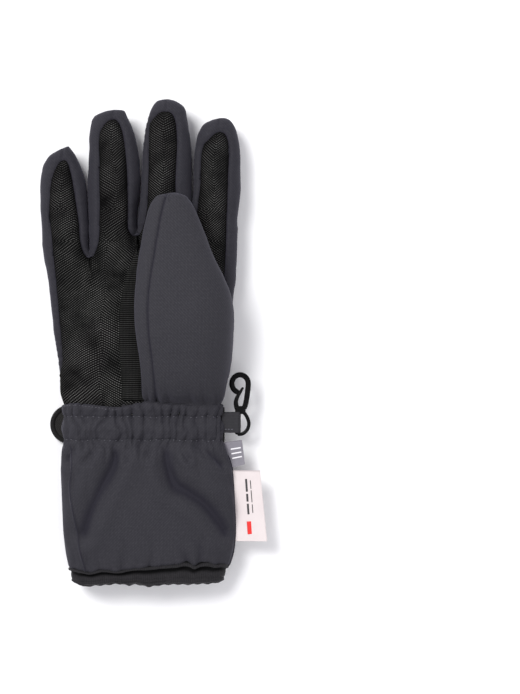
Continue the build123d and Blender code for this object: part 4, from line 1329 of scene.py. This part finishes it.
class Look:
    """A material whose pattern lies on the flat cloth in millimetres: u across, v along, and painted shade
    at seams and creases.
    """

    def __init__(self, name, roughness, sheen=0.0, specular=0.5, coat=0.0):
        self.material = bpy.data.materials.new(name)
        self.material.use_nodes = True
        self.tree = self.material.node_tree
        self.shader = self.tree.nodes["Principled BSDF"]
        self.shader.inputs["Roughness"].default_value = roughness
        self.shader.inputs["Sheen Weight"].default_value = sheen
        self.shader.inputs["Sheen Roughness"].default_value = 0.45
        self.shader.inputs["Specular IOR Level"].default_value = specular
        self.shader.inputs["Coat Weight"].default_value = coat
        cloth_place = self.node("ShaderNodeAttribute")
        cloth_place.attribute_name = "weave"
        scaled = self.node("ShaderNodeVectorMath")
        scaled.operation = "SCALE"
        scaled.inputs["Scale"].default_value = 1000.0
        self.tree.links.new(cloth_place.outputs["Vector"], scaled.inputs[0])
        self.vector = scaled.outputs[0]
        split = self.node("ShaderNodeSeparateXYZ")
        self.tree.links.new(self.vector, split.inputs[0])
        self.u, self.v, self.shade = (Field(self.tree, split.outputs[k]) for k in range(3))

    def node(self, kind):
        """A new node of a kind."""
        return self.tree.nodes.new(kind)

    def clouds(self, size, detail=2.0, solid=False):
        """Soft noise from 0 to 1 with features of a size in mm, on the flat cloth or through a solid."""
        noise_node = self.node("ShaderNodeTexNoise")
        noise_node.inputs["Scale"].default_value = 1.0
        noise_node.inputs["Detail"].default_value = detail
        mapping = self.node("ShaderNodeMapping")
        mapping.inputs["Scale"].default_value = [1.0 / size * (1000.0 if solid else 1.0)] * 3
        source = self.node("ShaderNodeTexCoord").outputs["Object"] if solid else self.vector
        self.tree.links.new(source, mapping.inputs["Vector"])
        self.tree.links.new(mapping.outputs[0], noise_node.inputs["Vector"])
        return Field(self.tree, noise_node.outputs[0])

    def mix(self, share, low, high):
        """A colour between two, each a colour or an earlier mix."""
        node = self.node("ShaderNodeMix")
        node.data_type = "RGBA"
        if isinstance(share, Field):
            self.tree.links.new(share.socket, node.inputs[0])
        else:
            node.inputs[0].default_value = share
        for socket, colour in ((node.inputs[6], low), (node.inputs[7], high)):
            if isinstance(colour, tuple):
                socket.default_value = (*colour, 1.0)
            else:
                self.tree.links.new(colour, socket)
        return node.outputs[2]

    def colour(self, socket):
        """Makes a mix the base colour."""
        self.tree.links.new(socket, self.shader.inputs["Base Color"])

    def roughness(self, field):
        """Makes a field the roughness."""
        self.tree.links.new(field.socket, self.shader.inputs["Roughness"])

    def relief(self, height, depth):
        """Bumps of a depth in millimetres."""
        node = self.node("ShaderNodeBump")
        node.inputs["Strength"].default_value = 1.0
        node.inputs["Distance"].default_value = depth * MM
        self.tree.links.new(height.socket, node.inputs["Height"])
        self.tree.links.new(node.outputs[0], self.shader.inputs["Normal"])

    def woven(self, pattern, dark, light, height, depth):
        """The finished material of a cloth whose pattern runs from a dark to a light colour, with bumps."""
        self.colour(self.mix(pattern, dark, light))
        self.relief(height, depth)
        return self.material


def shell_look():
    """Grey softshell: a fine plain weave with a faint diagonal, mottled, with painted violet shade at
    seams, creases and folds.
    """
    look = Look("grey_softshell", 0.82, sheen=0.12, specular=0.12)
    look.shader.inputs["Sheen Tint"].default_value = (0.62, 0.60, 0.78, 1.0)
    warp = (look.u + look.clouds(1.6) * 0.25).wave(0.74)
    weft = (look.v + look.clouds(1.9) * 0.25).wave(0.66)
    diagonal = (look.u + look.v + look.clouds(6.0) * 0.6).wave(1.62)
    flecks = look.clouds(1.15, 2.0)
    weave = warp * weft * 0.4 + diagonal * 0.17 + flecks * 0.48
    patches = look.clouds(7.0, 3.0) * 0.6 + look.clouds(24.0, 2.0) * 0.5
    tone = look.mix(patches, (0.0290, 0.0283, 0.0340), (0.0400, 0.0390, 0.0445))
    fine = look.mix((weave * 2.2 - 0.75).clamped(), (0.0150, 0.0145, 0.0180), (0.0620, 0.0605, 0.0680))
    cloth = look.mix(0.5, tone, fine)
    # Painted shade: the cloth mixed towards a dark violet as far as the shade attribute says.
    look.colour(look.mix((look.shade * 0.75).clamped(), cloth, (0.0140, 0.0130, 0.0200)))
    look.roughness(weave * 0.12 + 0.74)
    look.relief(weave + look.clouds(2.6, 3.0) * 0.8, 0.075)
    return look.material


def grip_look():
    """Black grip cloth: raised ribs in a large broken zigzag, with a paler thread along each."""
    look = Look("black_grip_cloth", 0.8, specular=0.03)
    u = look.u + (look.clouds(38.0, 1.0) - 0.5) * 15.0
    above = (look.v - 104.0).step("GREATER_THAN", 0.0)
    on_palm = (look.v - 87.0).step("LESS_THAN", 0.0)
    on_fingers = (u + above * 8.0 + 35.4).zigzag(27.0)
    along_ribs = (on_fingers + ((u + 22.0).step("ABSOLUTE") - on_fingers) * on_palm) * 0.68
    turn = (look.v - 104.0).step("ABSOLUTE")
    ribs = (turn - along_ribs).wave(1.38)
    cross = (turn + along_ribs).wave(1.2)
    strand = look.clouds(0.9, 2.0)
    raised = ribs * ribs * ribs * (cross * cross * 0.9 + 0.1)
    # Random patches where the pale threads show less, darkened further by painted shade near the panel's
    # edges and seams.
    patches_and_painted_shade = (look.clouds(15.0, 3.0) * 2.9 - 0.75).clamped() * (look.shade * -0.85 + 1.0)
    lit = (raised * (strand * 1.1 + 0.3) * patches_and_painted_shade).clamped()
    look.colour(look.mix(lit, (0.0020, 0.0020, 0.0021), (0.190, 0.188, 0.178)))
    look.roughness(raised * -0.1 + 0.85)
    look.relief(ribs * 0.8 + cross * 0.35, 0.22)
    return look.material


def ribs_look():
    """The black web beside the thumb: close cross ribs with a fine warp through them."""
    look = Look("black_cross_ribs", 0.8, specular=0.03)
    ribs = (look.v + look.clouds(9.0) * 0.5).wave(1.12)
    warp = (look.u + look.clouds(5.0) * 0.3).wave(0.78)
    lit = (ribs * ribs * (warp * 0.6 + 0.4) * (look.clouds(11.0, 3.0) * 1.0 + 0.4)).clamped()
    return look.woven(lit, (0.0020, 0.0020, 0.0020), (0.048, 0.048, 0.045), ribs + warp * 0.3, 0.24)


def webbing_look():
    """Black strap webbing: a narrow herringbone between plain edges."""
    look = Look("black_strap_webbing", 0.6, sheen=0.04, specular=0.16)
    bands = look.u.zigzag(5.2)
    ribs = (look.v + bands).wave(1.1)
    cross = (look.u + look.clouds(3.0) * 0.2).wave(0.72)
    lit = (ribs * (cross * 0.5 + 0.5) * (look.clouds(8.0, 3.0) + 0.35)).clamped()
    return look.woven(lit, (0.0070, 0.0068, 0.0068), (0.052, 0.050, 0.046), ribs + cross * 0.4, 0.2)


def binding_look():
    """Black woven edging tape."""
    look = Look("black_edge_tape", 0.64, sheen=0.04, specular=0.14)
    rows = look.v.wave(0.8)
    lit = (rows * (look.clouds(1.1, 2.0) + 0.2) * 0.8).clamped()
    nap = rows + look.clouds(1.4, 3.0)
    return look.woven(lit, (0.0045, 0.0044, 0.0044), (0.026, 0.025, 0.024), nap, 0.14)


def patch_look(name, stiff):
    """One half of a touch fastener: stiff little hooks in rows, or a soft pile of loops."""
    look = Look(name, 0.7, sheen=0.03 if stiff else 0.15, specular=0.15)
    if stiff:
        nap = look.u.wave(1.25) * look.v.wave(1.05)
    else:
        nap = look.clouds(0.9, 4.0) * 0.9 + look.clouds(3.0, 2.0) * 0.2
    return look.woven(nap.clamped(), (0.005, 0.005, 0.005), (0.045, 0.044, 0.045), nap, 0.4)


def hem_look():
    """The black brushed knit of the hem: fine wales under a short nap."""
    look = Look("black_brushed_knit", 0.9, sheen=0.08, specular=0.08)
    wales = (look.u + look.clouds(3.0) * 0.5).wave(1.0)
    nap = look.clouds(0.7, 4.0)
    shade = (wales * 0.3 + nap * 0.6 + look.clouds(5.0, 3.0) * 0.3).clamped()
    knit = look.mix(shade, (0.0035, 0.0034, 0.0036), (0.0320, 0.0303, 0.0330))
    # Painted shade: the knit mixed towards near black as far as the shade attribute says.
    look.colour(look.mix(look.shade.clamped(), knit, (0.0015, 0.0015, 0.0016)))
    look.relief(wales * 0.5 + nap * 1.2, 0.22)
    return look.material


def fleece_look():
    """The soft charcoal fleece of the lining."""
    look = Look("charcoal_fleece", 0.95, sheen=0.2, specular=0.08)
    nap = look.clouds(1.3, 5.0) * 0.8 + look.clouds(4.0, 3.0) * 0.4
    return look.woven(nap.clamped(), (0.010, 0.010, 0.011), (0.046, 0.045, 0.049), nap, 0.5)


def tab_look():
    """Charcoal tape of the clip's tab."""
    look = Look("charcoal_tape", 0.7, sheen=0.06, specular=0.14)
    rows = look.v.wave(0.62)
    cross = look.u.wave(0.8)
    lit = (rows * 0.5 + cross * 0.25 + look.clouds(1.2, 3.0) * 0.35).clamped()
    return look.woven(lit, (0.015, 0.0147, 0.0163), (0.040, 0.039, 0.0435), rows + cross * 0.5, 0.1)


def plastic_look():
    """Glossy black moulded plastic, with the faint unevenness of a small moulding."""
    look = Look("black_moulded_plastic", 0.3, specular=0.08, coat=0.02)
    look.shader.inputs["Coat Roughness"].default_value = 0.2
    dust = look.clouds(2.2, 4.0, solid=True)
    look.colour(look.mix(dust, (0.0022, 0.0022, 0.0023), (0.0060, 0.0060, 0.0062)))
    look.roughness(dust * 0.22 + 0.2)
    look.relief(look.clouds(1.1, 3.0, solid=True), 0.03)
    return look.material


def label_look(name, dark, light):
    """Woven satin ribbon with a fine rib across it."""
    look = Look(name, 0.5, sheen=0.15, specular=0.45)
    rows = look.v.wave(0.42)
    warp = look.u.wave(0.55)
    lit = (rows * 0.35 + warp * 0.2 + look.clouds(6.0, 3.0) * 0.5).clamped()
    return look.woven(lit, dark, light, rows + warp * 0.4, 0.04)


def thread_look(name, dark, light):
    """Twisted sewing thread."""
    look = Look(name, 0.55, sheen=0.2, specular=0.4)
    twist = look.clouds(0.35, 2.0, solid=True)
    return look.woven(twist, dark, light, twist, 0.05)


def floor_look():
    """The plain pale ground."""
    look = Look("pale_ground", 0.9, specular=0.1)
    grain = look.clouds(60.0, 2.0, solid=True)
    look.colour(look.mix(grain, (0.93, 0.93, 0.93), (0.95, 0.95, 0.95)))
    return look.material


MATERIALS = {
    "shell": shell_look(),
    "grip": grip_look(),
    "ribs": ribs_look(),
    "webbing": webbing_look(),
    "binding": binding_look(),
    "hooks": patch_look("black_hook_tape", True),
    "loops": patch_look("black_loop_tape", False),
    "hem": hem_look(),
    "fleece": fleece_look(),
    "tab": tab_look(),
    "plastic": plastic_look(),
    "grey_label": label_look("grey_satin_label", (0.110, 0.104, 0.124), (0.250, 0.238, 0.270)),
    "white_label": label_look("white_satin_label", (0.600, 0.530, 0.522), (0.740, 0.672, 0.660)),
    "thread": thread_look("lilac_grey_thread", (0.055, 0.053, 0.066), (0.125, 0.121, 0.145)),
    "white_thread": thread_look("white_thread", (0.700, 0.690, 0.710), (0.880, 0.870, 0.880)),
    "dark_thread": thread_look("dark_thread", (0.018, 0.017, 0.018), (0.060, 0.056, 0.056)),
    "red_thread": thread_look("red_thread", (0.620, 0.012, 0.010), (0.780, 0.030, 0.022)),
}


# ------------------------------------------------------------------ camera, ground and light
def make_camera():
    """Straight above the ground, upright, with the glove in the left half of the picture."""
    data = bpy.data.cameras.new("camera")
    data.sensor_width = SENSOR
    data.lens = SENSOR * CAMERA_DISTANCE / (FRAME_HEIGHT * MM)
    data.clip_start = 0.05
    data.clip_end = 20.0
    camera = bpy.data.objects.new("camera", data)
    bpy.context.scene.collection.objects.link(camera)
    camera.location = Vector(place(FRAME_CENTRE)) + Vector((0, 0, CAMERA_DISTANCE))
    bpy.context.scene.camera = camera


def make_ground():
    """A large plain pale floor at the level that the glove lies on."""
    mesh = bpy.data.meshes.new("ground")
    corners = [(x * GROUND_HALF, y * GROUND_HALF, 0.0) for x, y in ((-1, -1), (1, -1), (1, 1), (-1, 1))]
    mesh.from_pydata(corners, [], [(0, 1, 2, 3)])
    ground = bpy.data.objects.new("ground", mesh)
    bpy.context.scene.collection.objects.link(ground)
    mesh.materials.append(floor_look())


def area_light(name, position, size, watts):
    """A square soft box that faces the middle of the glove."""
    data = bpy.data.lights.new(name, "AREA")
    data.size = size
    data.energy = watts
    light = bpy.data.objects.new(name, data)
    bpy.context.scene.collection.objects.link(light)
    light.location = position
    light.rotation_euler = (Vector(LIGHT_TARGET) - Vector(position)).to_track_quat("-Z", "Y").to_euler()


def make_light():
    """Two soft boxes and an even, faintly cool surround."""
    for light in LIGHTS:
        area_light(*light)
    world = bpy.data.worlds.new("studio")
    bpy.context.scene.world = world
    world.use_nodes = True
    background = world.node_tree.nodes["Background"]
    background.inputs["Color"].default_value = WORLD_COLOUR
    background.inputs["Strength"].default_value = WORLD_STRENGTH
    bpy.context.scene.view_settings.view_transform = "Standard"


make_camera()
make_ground()
make_light()
make_hand(MATERIALS)
make_web(MATERIALS)
make_thumb(MATERIALS)
gauntlet_points, gauntlet_rounds, wrist_bend = make_gauntlet(MATERIALS)
make_hem(MATERIALS)
make_lining(MATERIALS, wrist_bend)
make_strap(MATERIALS)
make_tab(MATERIALS)
make_clip(MATERIALS)
make_labels(MATERIALS)
make_wrist_stitches(MATERIALS, gauntlet_points, gauntlet_rounds, wrist_bend)
